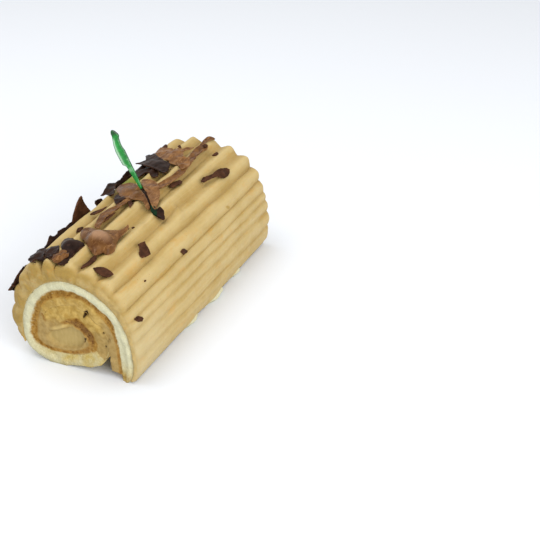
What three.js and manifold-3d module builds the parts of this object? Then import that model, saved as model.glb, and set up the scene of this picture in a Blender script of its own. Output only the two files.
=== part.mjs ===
// A yule log cake: a sheet of sponge rolled up with coffee cream, coated with combed
// coffee cream, strewn with dark and milk chocolate, with a green plastic pick stuck in.
// Millimetres, +Z up. The log lies along Y with its cut end towards -Y, and the origin
// is on the floor, in the flat foot that the roll rests on.

import * as THREE from "three";
import { mergeVertices } from "three/addons/utils/BufferGeometryUtils.js";
import Module from "manifold-3d";

const wasm = await Module();
wasm.setup();

// ---- The log ----
const LENGTH = 200;
const NEAR = -LENGTH / 2;
const FAR = LENGTH / 2;
const FAR_WIDTH = 1.08; // the far end is this much wider than the cut end
const FAR_HEIGHT = 1.112; // and this much taller
const FAR_SHIFT = -1.2; // and this far to the side
const GAP = 0.3; // between pieces that touch
const CUT_GAP = 0.24; // between the sponge and a coat that is cut back from it

// ---- The sponge sheet, in a section across the log: x to the right, z up ----
// Its middle line runs from the flap that hangs down on the right, over the top, down the
// left, under the roll and up again to the tip inside.
const SHEET_PATH = [
  [36.5, 0], [38.4, 10], [38.2, 22], [35.4, 34], [29.5, 44.5], [20, 52.5],
  [9, 57], [-2, 57.5], [-12.5, 54], [-21.5, 46.5], [-28, 36], [-31, 24.5],
  [-30.2, 13], [-22, 6.9], [-10, 5.3], [1, 5.3], [11, 8], [18.2, 14.3],
  [21, 23], [19.8, 31.5], [14, 38.5], [5.5, 42], [-4, 41.6], [-12, 38.6], [-18, 34],
];
// Share of the way along the sheet, and how thick it is there.
const SHEET_THICKNESS = [
  [0, 3.5], [0.011, 7], [0.035, 9], [0.1, 9.3], [0.22, 11.4], [0.32, 12],
  [0.46, 10.8], [0.62, 10.4], [0.75, 11.2], [0.93, 10.2], [0.98, 7], [1, 3.5],
];
const SHEET_STEPS = 56;

// ---- The cream between the turns ----
const STRIP_THICKNESS = 7; // of the cream on the flap's inner face, which hangs free
const STRIP_START = 0.012; // share of the way along the sheet
const NOTCH = 0.765; // where the roll's inner turn meets that strip
const STRIP_TOP = 0.066; // the strip's free face ends here, just under the notch
const BACK_STEPS = 20; // faces along the outer side of the inner turn
const FREE_STEPS = 6; // and along the strip's free face

// ---- The cream coat ----
const COAT_PATH = [
  [-39.6, 10.5], [-43.8, 25], [-41.8, 43], [-36.8, 56], [-27.8, 66.5], [-14, 71.6], [0, 73],
  [13, 71.4], [26.4, 66.2], [37, 56.7], [43.4, 43.2], [46.3, 30], [47.2, 16], [45.5, 6], [43, 1],
];
const COAT_LAST_STEP = 31; // of the sheet's steps: the coat covers those from the flap to here
// The comb's ridges: where each ends, as a share of the way round at the near end and at
// the far end, and how high it stands over the valleys beside it.
const RIDGES = [
  { near: 0.07, far: 0.07, height: 1.6 },
  { near: 0.15, far: 0.15, height: 2.8 },
  { near: 0.23, far: 0.23, height: 3 },
  { near: 0.303, far: 0.3, height: 3.4 },
  { near: 0.38, far: 0.382, height: 4 },
  { near: 0.44, far: 0.447, height: 4.4 },
  { near: 0.521, far: 0.531, height: 4.4 },
  { near: 0.593, far: 0.605, height: 4.2 },
  { near: 0.659, far: 0.674, height: 3.8 },
  { near: 0.728, far: 0.738, height: 3.2 },
  { near: 0.767, far: 0.782, height: 1.6 },
  { near: 0.8, far: 0.815, height: 1.2 },
  { near: 0.838, far: 0.858, height: 1.4 },
  { near: 0.9, far: 0.92, height: 1.6 },
  { near: 1, far: 1, height: 1.4 },
];
const RIDGE_ROUNDNESS = 0.72; // under 1 gives broad tops and sharp valleys
const RIDGE_WANDER = 0.003; // how far a valley strays sideways, as a share of the way round
const WANDER_WAVE = 23;
const WANDER_TURN = 1.7; // how far each valley's wave is ahead of the one before
const RIDGE_UNEVENNESS = 0.1; // how much a ridge's height varies along the log
const UNEVEN_WAVE = 17;
const UNEVEN_TURN = 2.3;
const RIDGE_SAMPLES = [0, 0.12, 0.3, 0.5, 0.7, 0.88]; // shares of a ridge's width
const NEAR_ROUNDING = 6; // length over which the coat's near end rounds over
const FAR_ROUNDING = 3;
const NEAR_DROP = 0.5; // share of the coat's thickness lost at its near end
const FAR_DROP = 0.1; // and at its far end
const THINNEST_COAT = 1.2;
const STATIONS = [
  -100, -98.8, -96.6, -93, -84, -70, -56, -42, -28, -14, 6, 20, 34, 48, 62, 76, 90, 97, 99, 100,
];
const SPONGE_STATIONS = STATIONS.filter((y) => Math.abs(y) === FAR || Math.abs(y) < 92);
// Where the flap's bottom bulges out under the coat's edge and shows white.
const BULGES = [
  { at: -28, reach: 15, out: 3 },
  { at: 8, reach: 19, out: 3.6 },
  { at: 43, reach: 13, out: 2.8 },
];
const BULGE_HEIGHT = 9;
const EDGE_LIFT = 5; // how far the coat's edge lifts over the deepest bulge
const COAT_LENGTH = 185; // round the roll, from edge to edge
const EDGE_FADE = 0.025; // share of that over which the ridges die away at the edges

// ---- The pick ----
const PICK_FOOT = [0.444, 6.3, 2.4]; // where it goes in: share round the coat, y, height
const PICK_RISE = [-0.437, 0, 0.9];
const PICK_BROAD_SIDE = [0.33, -0.8, 0.5]; // the way its broad side faces
const PICK_THICKNESS = 2;
// Place along the pick from where it goes in, and its left and right edges there.
const PICK_PROFILE = [
  [-7, -0.8, 0.8], [0, -1.4, 1.6], [13, -1.8, 1.7], [16, -2.4, 1.7], [18, -3.8, 1.6],
  [27, -4.4, 1.3], [34, -3.8, 1.4], [40, -2.2, 1.8], [42, -1.5, 1.7], [43.2, -0.7, 0.9],
];

// ---- The chocolate ----
// A plate has four corners and a ribbon has a path; both are given as the share of the way
// round the coat, y along the log and the height over the coat's path. A ribbon's fourth
// number is its width. The arch is how far the middle stands up: of a plate across, along
// and both ways at once, of a ribbon across. The grid is how many faces make up the piece.
const CHOCOLATE_THICKNESS = 1.3;
const CHOCOLATE = [
  {
    name: "milk_left_plate",
    kind: "milk",
    parts: [
      {
        corners: [[0.365, 2, 3.4], [0.437, 7, 3], [0.498, -11, 3], [0.425, -13, 3]],
        arch: [0.5, 0, 0.6],
        grid: [4, 3],
      },
      {
        path: [[0.45, 3, 3.4, 3.6], [0.497, -8, 3.4, 3.6], [0.532, -16, 3, 2.6]],
        arch: 0.6,
        grid: [2, 3],
      },
    ],
  },
  {
    name: "milk_right_plate",
    kind: "milk",
    parts: [
      {
        corners: [[0.428, 15.6, 3.2], [0.5, 13, 3.2], [0.552, -12, 3], [0.522, -8, 3]],
        arch: [0.6, 0.2, 0.4],
        grid: [3, 4],
      },
    ],
  },
  {
    name: "dark_slit_shard",
    kind: "dark",
    parts: [
      {
        path: [[0.464, 1.6, 2.6, 1.8], [0.508, -7.8, 2.6, 2], [0.54, -14.2, 2.6, 1.6]],
        arch: 0,
        grid: [1, 3],
      },
    ],
  },
  {
    name: "dark_pocket_shard",
    kind: "dark",
    parts: [
      {
        corners: [
          [0.545, -15.5, 2.9], [0.568, -9.2, 3.4], [0.609, -18.5, 2.8], [0.577, -21.6, 2.6],
        ],
        arch: [0, 0, 0.6],
        grid: [2, 2],
      },
    ],
  },
  {
    name: "milk_long_ribbon",
    kind: "milk",
    parts: [
      {
        path: [
          [0.5, 14, 2.9, 5.6], [0.511, 21, 2.9, 5.6], [0.517, 32, 2.8, 5.2], [0.519, 46, 2.8, 5],
          [0.512, 62, 2.8, 5], [0.505, 77, 2.8, 5.6], [0.497, 89, 2.8, 6.4], [0.496, 98, 2.8, 5],
        ],
        arch: 0.5,
        grid: [2, 14],
      },
    ],
  },
  {
    name: "milk_front_ribbon",
    kind: "milk",
    parts: [
      {
        path: [
          [0.463, -13, 2.9, 1.6], [0.45, -23, 3, 3.2], [0.443, -35, 3, 5.4],
          [0.448, -51, 2.8, 6.6],
        ],
        arch: 1,
        grid: [3, 7],
      },
    ],
  },
  {
    name: "milk_rear_plate",
    kind: "milk",
    parts: [
      {
        corners: [[0.335, 68, 2.8], [0.36, 83, 2.8], [0.483, 64, 2.8], [0.45, 50, 2.8]],
        arch: [0.2, 0, 0.3],
        grid: [4, 3],
      },
      {
        path: [[0.43, 78, 2.9, 3], [0.462, 84, 2.8, 1.4]],
        arch: 0,
        grid: [1, 2],
      },
    ],
  },
  {
    name: "milk_rear_shaving",
    kind: "milk",
    parts: [
      {
        corners: [[0.455, 48.5, 3], [0.494, 57, 3], [0.5, 45, 2.8], [0.484, 43, 2.8]],
        arch: [0.4, 0, 0.4],
        grid: [3, 2],
      },
    ],
  },
  {
    name: "milk_big_curl",
    kind: "milk",
    parts: [
      {
        corners: [[0.428, -57, 3], [0.522, -50.7, 2.9], [0.564, -72.5, 2.8], [0.508, -79, 2.8]],
        arch: [1, 0, 4.4],
        grid: [6, 5],
      },
      {
        corners: [[0.406, -61, 2.9], [0.44, -56, 3.2], [0.524, -79.6, 2.9], [0.468, -72.3, 2.8]],
        arch: [1, 0, 1],
        grid: [3, 4],
      },
      {
        path: [[0.53, -60, 3, 7], [0.529, -49, 2.9, 4], [0.527, -39, 2.8, 1.4]],
        arch: 0.5,
        grid: [2, 4],
      },
    ],
  },
  {
    name: "dark_rounded_curl",
    kind: "dark",
    parts: [
      {
        corners: [[0.35, -67, 2.8], [0.41, -68, 2.9], [0.458, -79.5, 2.9], [0.405, -82.3, 2.8]],
        arch: [1.2, 0.4, 1.6],
        grid: [5, 4],
      },
      {
        path: [[0.435, -72.8, 3.4, 3.6], [0.462, -70, 2.9, 1.4]],
        arch: 0.3,
        grid: [1, 2],
      },
    ],
  },
  {
    name: "milk_front_curl",
    kind: "milk",
    parts: [
      {
        corners: [[0.414, -86, 3.2], [0.45, -83.7, 3], [0.483, -94, 2.6], [0.436, -96, 2.8]],
        arch: [1, 0.4, 1],
        grid: [3, 3],
      },
    ],
  },
  {
    name: "dark_slope_shard",
    kind: "dark",
    parts: [
      {
        corners: [[0.315, -74, 3], [0.385, -77, 3.2], [0.42, -91, 2.9], [0.37, -93, 2.9]],
        arch: [0.8, 0.2, 0.8],
        grid: [3, 3],
      },
    ],
  },
  {
    name: "dark_corner_shard",
    kind: "dark",
    parts: [
      {
        corners: [[0.285, -74, 3.4], [0.33, -82, 3], [0.35, -96, 2.9], [0.265, -88, 3.6]],
        arch: [0.6, 0, 0.8],
        grid: [3, 3],
      },
    ],
  },
  {
    name: "dark_front_spike",
    kind: "dark",
    parts: [
      {
        corners: [[0.165, -90, 2.2], [0.2, -89, 2.4], [0.222, -97, 1.6], [0.21, -102.5, 1.8]],
        arch: [0, 0, 0.4],
        grid: [2, 3],
      },
      {
        path: [[0.21, -96.5, 1.9, 2.2], [0.245, -96, 1.8, 2.4], [0.275, -91, 2.5, 1.4]],
        arch: 0,
        grid: [1, 3],
      },
    ],
  },
  {
    name: "dark_large_shard",
    kind: "dark",
    parts: [
      {
        corners: [[0.31, 63, 3.4], [0.335, 73, 3], [0.458, 47.5, 2.9], [0.45, 31, 2.9]],
        arch: [0.3, 0, 0.8],
        grid: [4, 4],
      },
      {
        path: [[0.32, 60, 3.4, 3], [0.3, 54, 5, 0.8]],
        arch: 0,
        grid: [1, 2],
      },
    ],
  },
  {
    name: "dark_under_shard",
    kind: "dark",
    parts: [
      {
        corners: [[0.31, 40, 2.8], [0.33, 50, 2.8], [0.44, 33, 2.8], [0.452, 23.2, 2.8]],
        arch: [0.2, 0, 0.4],
        grid: [4, 3],
      },
    ],
  },
  {
    name: "dark_ridge_chip",
    kind: "dark",
    parts: [
      {
        corners: [[0.29, 25, 3.2], [0.3, 40, 5.2], [0.33, 38, 3], [0.32, 24, 2.8]],
        arch: [0, 0, 0.4],
        grid: [2, 2],
      },
    ],
  },
  {
    name: "dark_square_chip",
    kind: "dark",
    parts: [
      {
        corners: [[0.3, 3, 2.9], [0.38, -7, 2.8], [0.35, 8, 4.6], [0.335, 4, 7.4]],
        arch: [0.4, 0, 0.4],
        grid: [3, 3],
      },
    ],
  },
  {
    name: "dark_triangle",
    kind: "dark",
    parts: [
      {
        corners: [[0.3, -40.5, 2.8], [0.3, -18, 2.8], [0.345, -29.6, 13.8], [0.343, -31, 13.8]],
        arch: [0, 0, 0.8],
        grid: [3, 3],
      },
    ],
  },
  {
    name: "dark_small_curl",
    kind: "dark",
    parts: [
      {
        corners: [[0.375, -5.5, 3], [0.407, -8, 3], [0.442, -20.4, 2.9], [0.42, -19.5, 2.8]],
        arch: [1, 0, 0.6],
        grid: [3, 3],
      },
    ],
  },
  {
    name: "dark_long_flake",
    kind: "dark",
    parts: [
      {
        path: [
          [0.594, 41, 2.2, 3], [0.607, 52, 2.6, 3.4], [0.622, 60, 2.9, 6.4], [0.638, 67.6, 2.9, 5],
        ],
        arch: 0.4,
        grid: [2, 6],
      },
    ],
  },
  {
    name: "dark_valley_flake",
    kind: "dark",
    parts: [
      {
        path: [[0.517, 17.5, 2.4, 3.4], [0.529, 23.6, 2, 3.4], [0.54, 30.5, 2, 1.8]],
        arch: 0,
        grid: [2, 3],
      },
    ],
  },
  {
    name: "dark_square_flake",
    kind: "dark",
    parts: [
      {
        corners: [
          [0.603, -52.8, 2.6], [0.622, -46.5, 2.8], [0.659, -54.7, 2.8], [0.642, -61.6, 2.6],
        ],
        arch: [0, 0, 0.4],
        grid: [2, 2],
      },
    ],
  },
  {
    name: "dark_oval_flake",
    kind: "dark",
    parts: [
      {
        corners: [[0.563, -92.6, 2.6], [0.591, -86.6, 2.8], [0.617, -88.8, 2.6], [0.601, -95, 2.4]],
        arch: [0, 0, 0.5],
        grid: [3, 2],
      },
    ],
  },
  {
    name: "dark_groove_shard",
    kind: "dark",
    parts: [
      {
        path: [[0.521, -93, 1.2, 2.8], [0.527, -86, 1.2, 3], [0.528, -78, 1.2, 1.6]],
        arch: 0,
        grid: [1, 3],
      },
    ],
  },
  {
    name: "milk_flank_curl",
    kind: "milk",
    parts: [
      {
        corners: [[0.12, -34, 2.8], [0.2, -28, 2.8], [0.19, -8, 2.8], [0.13, -12, 2.8]],
        arch: [2, 0, 1],
        grid: [4, 3],
      },
    ],
  },
  {
    name: "dark_flank_shard",
    kind: "dark",
    parts: [
      {
        corners: [[0.13, 30, 2.6], [0.21, 26, 3], [0.2, 44, 3.4], [0.15, 48, 2.8]],
        arch: [0.8, 0, 0.6],
        grid: [3, 3],
      },
    ],
  },
];

// Small flakes, sunk in the coat: share round it, y, length, width and turn.
const FLAKE_RISE = 0.7;
const FLAKE_DEPTH = 2.4;
const FLAKE_TAPER = 0.8;
const FLAKE_SIDES = 6;
const FLAKES = [
  [0.3, -5, 7, 3, 0.3], [0.295, -46, 12, 3, 0], [0.3, -63, 5, 3, 0.4],
  [0.24, -84, 6, 3, 0.2], [0.468, -17, 5.4, 3, 1.2], [0.546, 84, 5, 2.6, 1.4],
  [0.42, 93, 4.4, 2.6, 0.8], [0.553, 77, 3.6, 2.4, 0.5], [0.727, -22, 4, 2.6, 0.4],
  [0.79, -87, 3.4, 2.2, 0.2], [0.705, -70, 3.6, 2.4, 1], [0.573, -92, 3.2, 2, 0.7],
  [0.54, -37, 4.6, 2.4, 0.9], [0.73, 46, 4.4, 2.4, 1.5], [0.46, -31, 5, 2.4, 0],
  [0.37, 96, 3.4, 2.4, 0.3],
];
const STREWN_FLAKES = 12; // more of them on the left flank
const STREWN_SHARES = [0.03, 0.27]; // between these shares round the coat
const STREWN_REACH = 94; // and up to this far from the log's middle
const STREWN_LENGTHS = [3.5, 7];
const STREWN_WIDTHS = [2.5, 4];
const FLAKE_SEED = 5;

// ---- Small numbers of the shapes ----
const FOOT_LEVEL = 0.9; // what lies lower than this is flattened on the floor
const NORMAL_STEP = 1e-3; // share of a surface over which its direction is taken
const CURVE_DIVISIONS = 800; // for even steps along a section's curve
const MERGE_DISTANCE = 1e-4;
const FINE_STEPS = 120; // where a place on the sheet is looked for
const SMALLEST_STEP = 0.003; // share of the sheet between two points of a section
const FLAP_SHARE = 0.1; // the bulges only move this much of the sheet
const GROWTH_SHARE = 0.12; // of a chocolate piece's length and width, per mm that it is grown

const materials = {
  sponge: { color: 0xe3dcb4, roughness: 0.95, metalness: 0 },
  filling: { color: 0xb99556, roughness: 0.7, metalness: 0 },
  coat: { color: 0xd2ba82, roughness: 0.6, metalness: 0 },
  milk: { color: 0x8f6344, roughness: 0.4, metalness: 0 },
  dark: { color: 0x35211c, roughness: 0.35, metalness: 0 },
  pick: { color: 0x2f9a45, roughness: 0.2, metalness: 0 },
};

const log = new THREE.Group();

// ---------------------------------------------------------------- general helpers

const lerp = THREE.MathUtils.lerp;

// Reads a table of [place, value] rows by straight lines between them.
function readTable(table, place) {
  const after = table.findIndex(([at]) => at >= place);
  if (after <= 0) return table[after === 0 ? 0 : table.length - 1][1];
  const [[a, low], [b, high]] = [table[after - 1], table[after]];
  return lerp(low, high, (place - a) / (b - a));
}

// A smooth bump: 1 at its middle and 0 from reach away.
function bump(distance, reach) {
  const share = Math.min(1, Math.abs(distance) / reach);
  return (1 + Math.cos(Math.PI * share)) / 2;
}

// A curve through points of a section, with the direction that points out of the roll.
function sectionCurve(points, outwardTurn) {
  const curve = new THREE.SplineCurve(points.map(([x, z]) => new THREE.Vector2(x, z)));
  curve.arcLengthDivisions = CURVE_DIVISIONS;
  return (share) => {
    const at = THREE.MathUtils.clamp(share, 0, 1);
    const tangent = curve.getTangentAt(at);
    const out = new THREE.Vector2(tangent.y, -tangent.x).multiplyScalar(outwardTurn);
    return { point: curve.getPointAt(at), out };
  };
}

// A point of the section, placed at y along the log, which widens to its far end.
function place(point, y) {
  const t = (y - NEAR) / LENGTH;
  const x = point.x * lerp(1, FAR_WIDTH, t) + FAR_SHIFT * t;
  return new THREE.Vector3(x, y, point.y * lerp(1, FAR_HEIGHT, t));
}

function signedVolume(positions, index) {
  const [a, b, c] = [new THREE.Vector3(), new THREE.Vector3(), new THREE.Vector3()];
  let total = 0;
  for (let i = 0; i < index.length; i += 3) {
    a.fromArray(positions, 3 * index[i]);
    b.fromArray(positions, 3 * index[i + 1]);
    c.fromArray(positions, 3 * index[i + 2]);
    total += a.dot(b.cross(c)) / 6;
  }
  return total;
}

// A closed geometry, turned so that its faces point out.
function closedGeometry(points, index) {
  const positions = points.flatMap((p) => [p.x, p.y, p.z]);
  if (signedVolume(positions, index) < 0) index.reverse();
  const geometry = new THREE.BufferGeometry();
  geometry.setAttribute("position", new THREE.Float32BufferAttribute(positions, 3));
  geometry.setIndex(index);
  return geometry;
}

const flatten = (ring) => ring.map((p) => new THREE.Vector2(p.x, p.z));

// A solid with the given rings as its sections, closed by a flat cap at each end.
function loft(sections) {
  const clockwise = THREE.ShapeUtils.isClockWise(flatten(sections[0]));
  const rings = clockwise ? sections.map((ring) => [...ring].reverse()) : sections;
  const count = rings[0].length;
  const index = [];
  for (let r = 0; r < rings.length - 1; r++) {
    for (let i = 0; i < count; i++) {
      const a = r * count + i;
      const b = r * count + ((i + 1) % count);
      index.push(a, b, a + count, b, b + count, a + count);
    }
  }
  for (const r of [0, rings.length - 1]) {
    for (const face of THREE.ShapeUtils.triangulateShape(flatten(rings[r]), [])) {
      const [a, b, c] = face.map((i) => r * count + i);
      if (r === 0) index.push(a, c, b);
      else index.push(a, b, c);
    }
  }
  return closedGeometry(rings.flat(), index);
}

// The grid's quads as triangles; both faces of a thin piece are split alike.
function gridFaces(across, along, offset, flip) {
  const faces = [];
  for (let i = 0; i < across; i++) {
    for (let j = 0; j < along; j++) {
      const a = offset + i * (along + 1) + j;
      const c = a + along + 1;
      if (flip) faces.push(a, a + 1, c, c, a + 1, c + 1);
      else faces.push(a, c, a + 1, c, c + 1, a + 1);
    }
  }
  return faces;
}

// A thin solid: a bent surface, given as a function of two shares, with a thickness. It can
// be grown all round.
function thinSolid(surface, [across, along], thickness, grow = 0) {
  const middle = [];
  const normals = [];
  const step = NORMAL_STEP;
  for (let i = 0; i <= across; i++) {
    for (let j = 0; j <= along; j++) {
      const [u, v] = [lerp(-grow, 1 + grow, i / across), lerp(-grow, 1 + grow, j / along)];
      const sideways = surface(u + step, v).sub(surface(u - step, v));
      const forwards = surface(u, v + step).sub(surface(u, v - step));
      middle.push(surface(u, v));
      normals.push(sideways.cross(forwards).normalize());
    }
  }
  const shifted = (side) =>
    middle.map((p, i) => p.clone().addScaledVector(normals[i], (side * thickness) / 2));
  const count = middle.length;
  const index = [...gridFaces(across, along, 0, false), ...gridFaces(across, along, count, true)];
  const rim = [];
  for (let j = 0; j < along; j++) rim.push(j);
  for (let i = 0; i < across; i++) rim.push(i * (along + 1) + along);
  for (let j = along; j > 0; j--) rim.push(across * (along + 1) + j);
  for (let i = across; i > 0; i--) rim.push(i * (along + 1));
  rim.forEach((a, k) => {
    const b = rim[(k + 1) % rim.length];
    index.push(a, b, a + count, b, b + count, a + count);
  });
  return closedGeometry([...shifted(1), ...shifted(-1)], index);
}

// Numbers between 0 and 1, the same every time.
function seeded(seed) {
  let state = seed;
  return () => {
    state = (state * 16807) % 2147483647;
    return state / 2147483647;
  };
}

// ---------------------------------------------------------------- joining and cutting

function toSolid(geometry) {
  const merged = mergeVertices(geometry, MERGE_DISTANCE);
  return new wasm.Manifold(
    new wasm.Mesh({
      numProp: 3,
      vertProperties: merged.attributes.position.array,
      triVerts: new Uint32Array(merged.index.array),
    }),
  );
}

function toGeometry(solid) {
  const { vertProperties, triVerts } = solid.getMesh();
  const geometry = new THREE.BufferGeometry();
  geometry.setAttribute("position", new THREE.BufferAttribute(vertProperties, 3));
  geometry.setIndex(new THREE.BufferAttribute(triVerts, 1));
  return geometry;
}

// The largest body of a trimmed piece.
function largestBody(solid) {
  return solid.decompose().sort((a, b) => b.volume() - a.volume())[0];
}

function addNode(name, geometry, kind) {
  geometry.computeVertexNormals();
  const mesh = new THREE.Mesh(geometry, new THREE.MeshStandardMaterial(materials[kind]));
  mesh.name = name;
  log.add(mesh);
}

// ---------------------------------------------------------------- the roll

const sheetAt = sectionCurve(SHEET_PATH, 1);

// How far the flap's bottom bulges outwards at height z, y along the log.
function bulgeOut(z, y) {
  const here = Math.max(...BULGES.map((b) => b.out * bump(y - b.at, b.reach)));
  return here * bump(z, BULGE_HEIGHT);
}

// A point on one face of the sheet: side 1 is the outer face, -1 the inner one.
function sheetFace(share, side, extra, y) {
  const { point, out } = sheetAt(share);
  const half = readTable(SHEET_THICKNESS, share) / 2 + extra;
  point.addScaledVector(out, side * half);
  if (side > 0 && share < FLAP_SHARE) point.x += bulgeOut(point.y, y);
  return point;
}

const evenShares = (from, to, steps) =>
  Array.from({ length: steps + 1 }, (_, i) => lerp(from, to, i / steps));

// The foot: low points are set on the floor, and only the first and last of them are kept.
function restOnFloor(points) {
  const low = points.map((p) => p.y < FOOT_LEVEL);
  points.forEach((p, i) => {
    if (low[i]) p.y = 0;
  });
  return points.filter((p, i) => !(low[i - 1] && low[i] && low[i + 1]));
}

function spongeRing(y, extra) {
  const shares = evenShares(0, 1, SHEET_STEPS);
  const outer = restOnFloor(shares.map((s) => sheetFace(s, 1, extra, y)));
  const inner = shares.map((s) => sheetFace(s, -1, 0, y)).reverse();
  inner[inner.length - 1].y = 0;
  return [...outer, ...inner].map((p) => place(p, y));
}

function fillingRing(y) {
  const strip = STRIP_THICKNESS + GAP;
  const sheet = evenShares(STRIP_START, 1, SHEET_STEPS).map((s) => sheetFace(s, -1, GAP, y));
  const tip = sheetAt(1);
  const beyond = new THREE.Vector2(-tip.out.y, tip.out.x).multiplyScalar(2 * GAP);
  const roundTip = [-1, 1].map((side) => sheetFace(1, side, GAP, y).add(beyond));
  const back = evenShares(1, NOTCH, BACK_STEPS).map((s) => sheetFace(s, 1, GAP, y));
  const free = evenShares(STRIP_TOP, STRIP_START, FREE_STEPS).map((s) => sheetFace(s, -1, strip, y));
  return [...sheet, ...roundTip, ...back, ...free].map((p) => place(p, y));
}

const spongeLoft = (extra) => loft(SPONGE_STATIONS.map((y) => spongeRing(y, extra)));

addNode("sponge", spongeLoft(0), "sponge");
addNode("coffee_filling", loft([NEAR, FAR].map(fillingRing)), "filling");

// ---------------------------------------------------------------- the coat

const coatAt = sectionCurve(COAT_PATH, -1);

const ridgeEnds = (y) => {
  const t = (y - NEAR) / LENGTH;
  const last = RIDGES.length - 1;
  return RIDGES.map((ridge, k) => {
    const wander = k < last ? RIDGE_WANDER * Math.sin(y / WANDER_WAVE + WANDER_TURN * k) : 0;
    return lerp(ridge.near, ridge.far, t) + wander;
  });
};

// Height of the combed surface over the coat's own path.
function ridgeHeight(share, y) {
  const ends = ridgeEnds(y);
  const k = Math.max(0, ends.findIndex((end) => end >= share));
  const start = k ? ends[k - 1] : 0;
  const across = THREE.MathUtils.clamp((share - start) / (ends[k] - start), 0, 1);
  const dome = Math.pow(Math.sin(Math.PI * across), RIDGE_ROUNDNESS);
  const uneven = 1 + RIDGE_UNEVENNESS * Math.sin(y / UNEVEN_WAVE + UNEVEN_TURN * k);
  return RIDGES[k].height * uneven * (dome - 0.5);
}

// How far the coat's surface has dropped where it rounds over at the log's ends.
function endDrop(y) {
  const rounding = y < 0 ? NEAR_ROUNDING : FAR_ROUNDING;
  const share = Math.min(1, (FAR - Math.abs(y)) / rounding);
  const drop = y < 0 ? NEAR_DROP : FAR_DROP;
  return drop * (1 - Math.sqrt(1 - (1 - share) ** 2));
}

const coatEnd = COAT_LAST_STEP / SHEET_STEPS;
const spongeOutside = evenShares(0, coatEnd, FINE_STEPS).map((s) => sheetFace(s, 1, 0, NEAR));

const coatThickness = (point) =>
  Math.min(...spongeOutside.map((p) => p.distanceTo(point)));

// A point on the coat's surface, in the section.
function coatSurface(share, y, extra = 0) {
  const { point, out } = coatAt(share);
  const depth = coatThickness(point);
  const drop = endDrop(y);
  const fromEdge = Math.min(share, Math.abs(coatEdge(y) - share));
  const fade = Math.min(1, fromEdge / EDGE_FADE);
  const combed = ridgeHeight(share, y) * fade * (1 - drop) - depth * drop;
  point.addScaledVector(out, Math.max(combed, THINNEST_COAT - depth) + extra);
  if (share > 0.5) point.x += bulgeOut(point.y, y);
  return point;
}

// The share of the way round at which the coat's lower right edge lies.
function coatEdge(y) {
  const lift = Math.max(...BULGES.map((b) => bump(y - b.at, b.reach))) * EDGE_LIFT;
  return 1 - lift / COAT_LENGTH;
}

function coatRing(y, extra = 0) {
  const ends = [0, ...ridgeEnds(y).slice(0, -1), coatEdge(y)];
  const shares = [];
  for (let k = 0; k < RIDGES.length; k++) {
    RIDGE_SAMPLES.forEach((s) => shares.push(lerp(ends[k], ends[k + 1], s)));
  }
  shares.push(coatEdge(y));
  const outer = shares.map((s) => coatSurface(s, y, extra));
  const bottom = Math.max(outer[outer.length - 1].y, FOOT_LEVEL);
  const flap = evenShares(0, FLAP_SHARE, FINE_STEPS);
  const start = flap.find((share) => sheetFace(share, 1, GAP, y).y >= bottom);
  const second = Math.max(1 / SHEET_STEPS, start + SMALLEST_STEP);
  const covered = evenShares(2 / SHEET_STEPS, coatEnd, COAT_LAST_STEP - 2);
  const inner = [start, second, ...covered].map((share) => sheetFace(share, 1, GAP, y));
  return [...outer, ...inner].map((p) => place(p, y));
}

let coatSolid = toSolid(loft(STATIONS.map((y) => coatRing(y))));
// Over the bulges the coat is cut back to just clear the sponge.
coatSolid = coatSolid.subtract(toSolid(spongeLoft(CUT_GAP)));

// ---------------------------------------------------------------- the pick

// A spot over the coat: its share of the way round, its place along the log, its height.
function overCoat(share, y, height) {
  const { point, out } = coatAt(share);
  return place(point.addScaledVector(out, height), y);
}

// The pick's section at a place along it, as an octagon.
function pickRing([at, left, right], grow) {
  const thick = PICK_THICKNESS / 2 + grow;
  const middle = (left + right) / 2;
  const half = (right - left) / 2 + grow;
  const corner = Math.min(half, thick) / 2;
  const outline = [
    [half, thick - corner], [half - corner, thick], [corner - half, thick], [-half, thick - corner],
    [-half, corner - thick], [corner - half, -thick], [half - corner, -thick], [half, corner - thick],
  ];
  return outline.map(([x, z]) => new THREE.Vector3(x + middle, at, z));
}

function pickSolid(grow) {
  const rise = new THREE.Vector3(...PICK_RISE).normalize();
  const broad = new THREE.Vector3(...PICK_BROAD_SIDE).cross(rise).negate().normalize();
  const frame = new THREE.Matrix4().makeBasis(broad, rise, broad.clone().cross(rise));
  frame.setPosition(overCoat(...PICK_FOOT));
  const rings = PICK_PROFILE.map((row) => pickRing(row, grow));
  rings[0].forEach((point) => (point.y -= grow));
  rings[rings.length - 1].forEach((point) => (point.y += grow));
  return toSolid(loft(rings).applyMatrix4(frame));
}

const taken = [pickSolid(GAP)];
coatSolid = coatSolid.subtract(taken[0]);
addNode("green_pick", toGeometry(pickSolid(0)), "pick");

// ---------------------------------------------------------------- the chocolate

// A plate between four corners, arched across and along.
function plateSurface({ corners, arch }) {
  const spots = corners.map((corner) => new THREE.Vector3(...corner));
  return (u, v) => {
    const near = spots[0].clone().lerp(spots[1], u);
    const spot = spots[3].clone().lerp(spots[2], u).lerp(near, 1 - v);
    const [across, along] = [4 * u * (1 - u), 4 * v * (1 - v)];
    const height = spot.z + arch[0] * across + arch[1] * along + arch[2] * across * along;
    return overCoat(spot.x, spot.y, height);
  };
}

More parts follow.
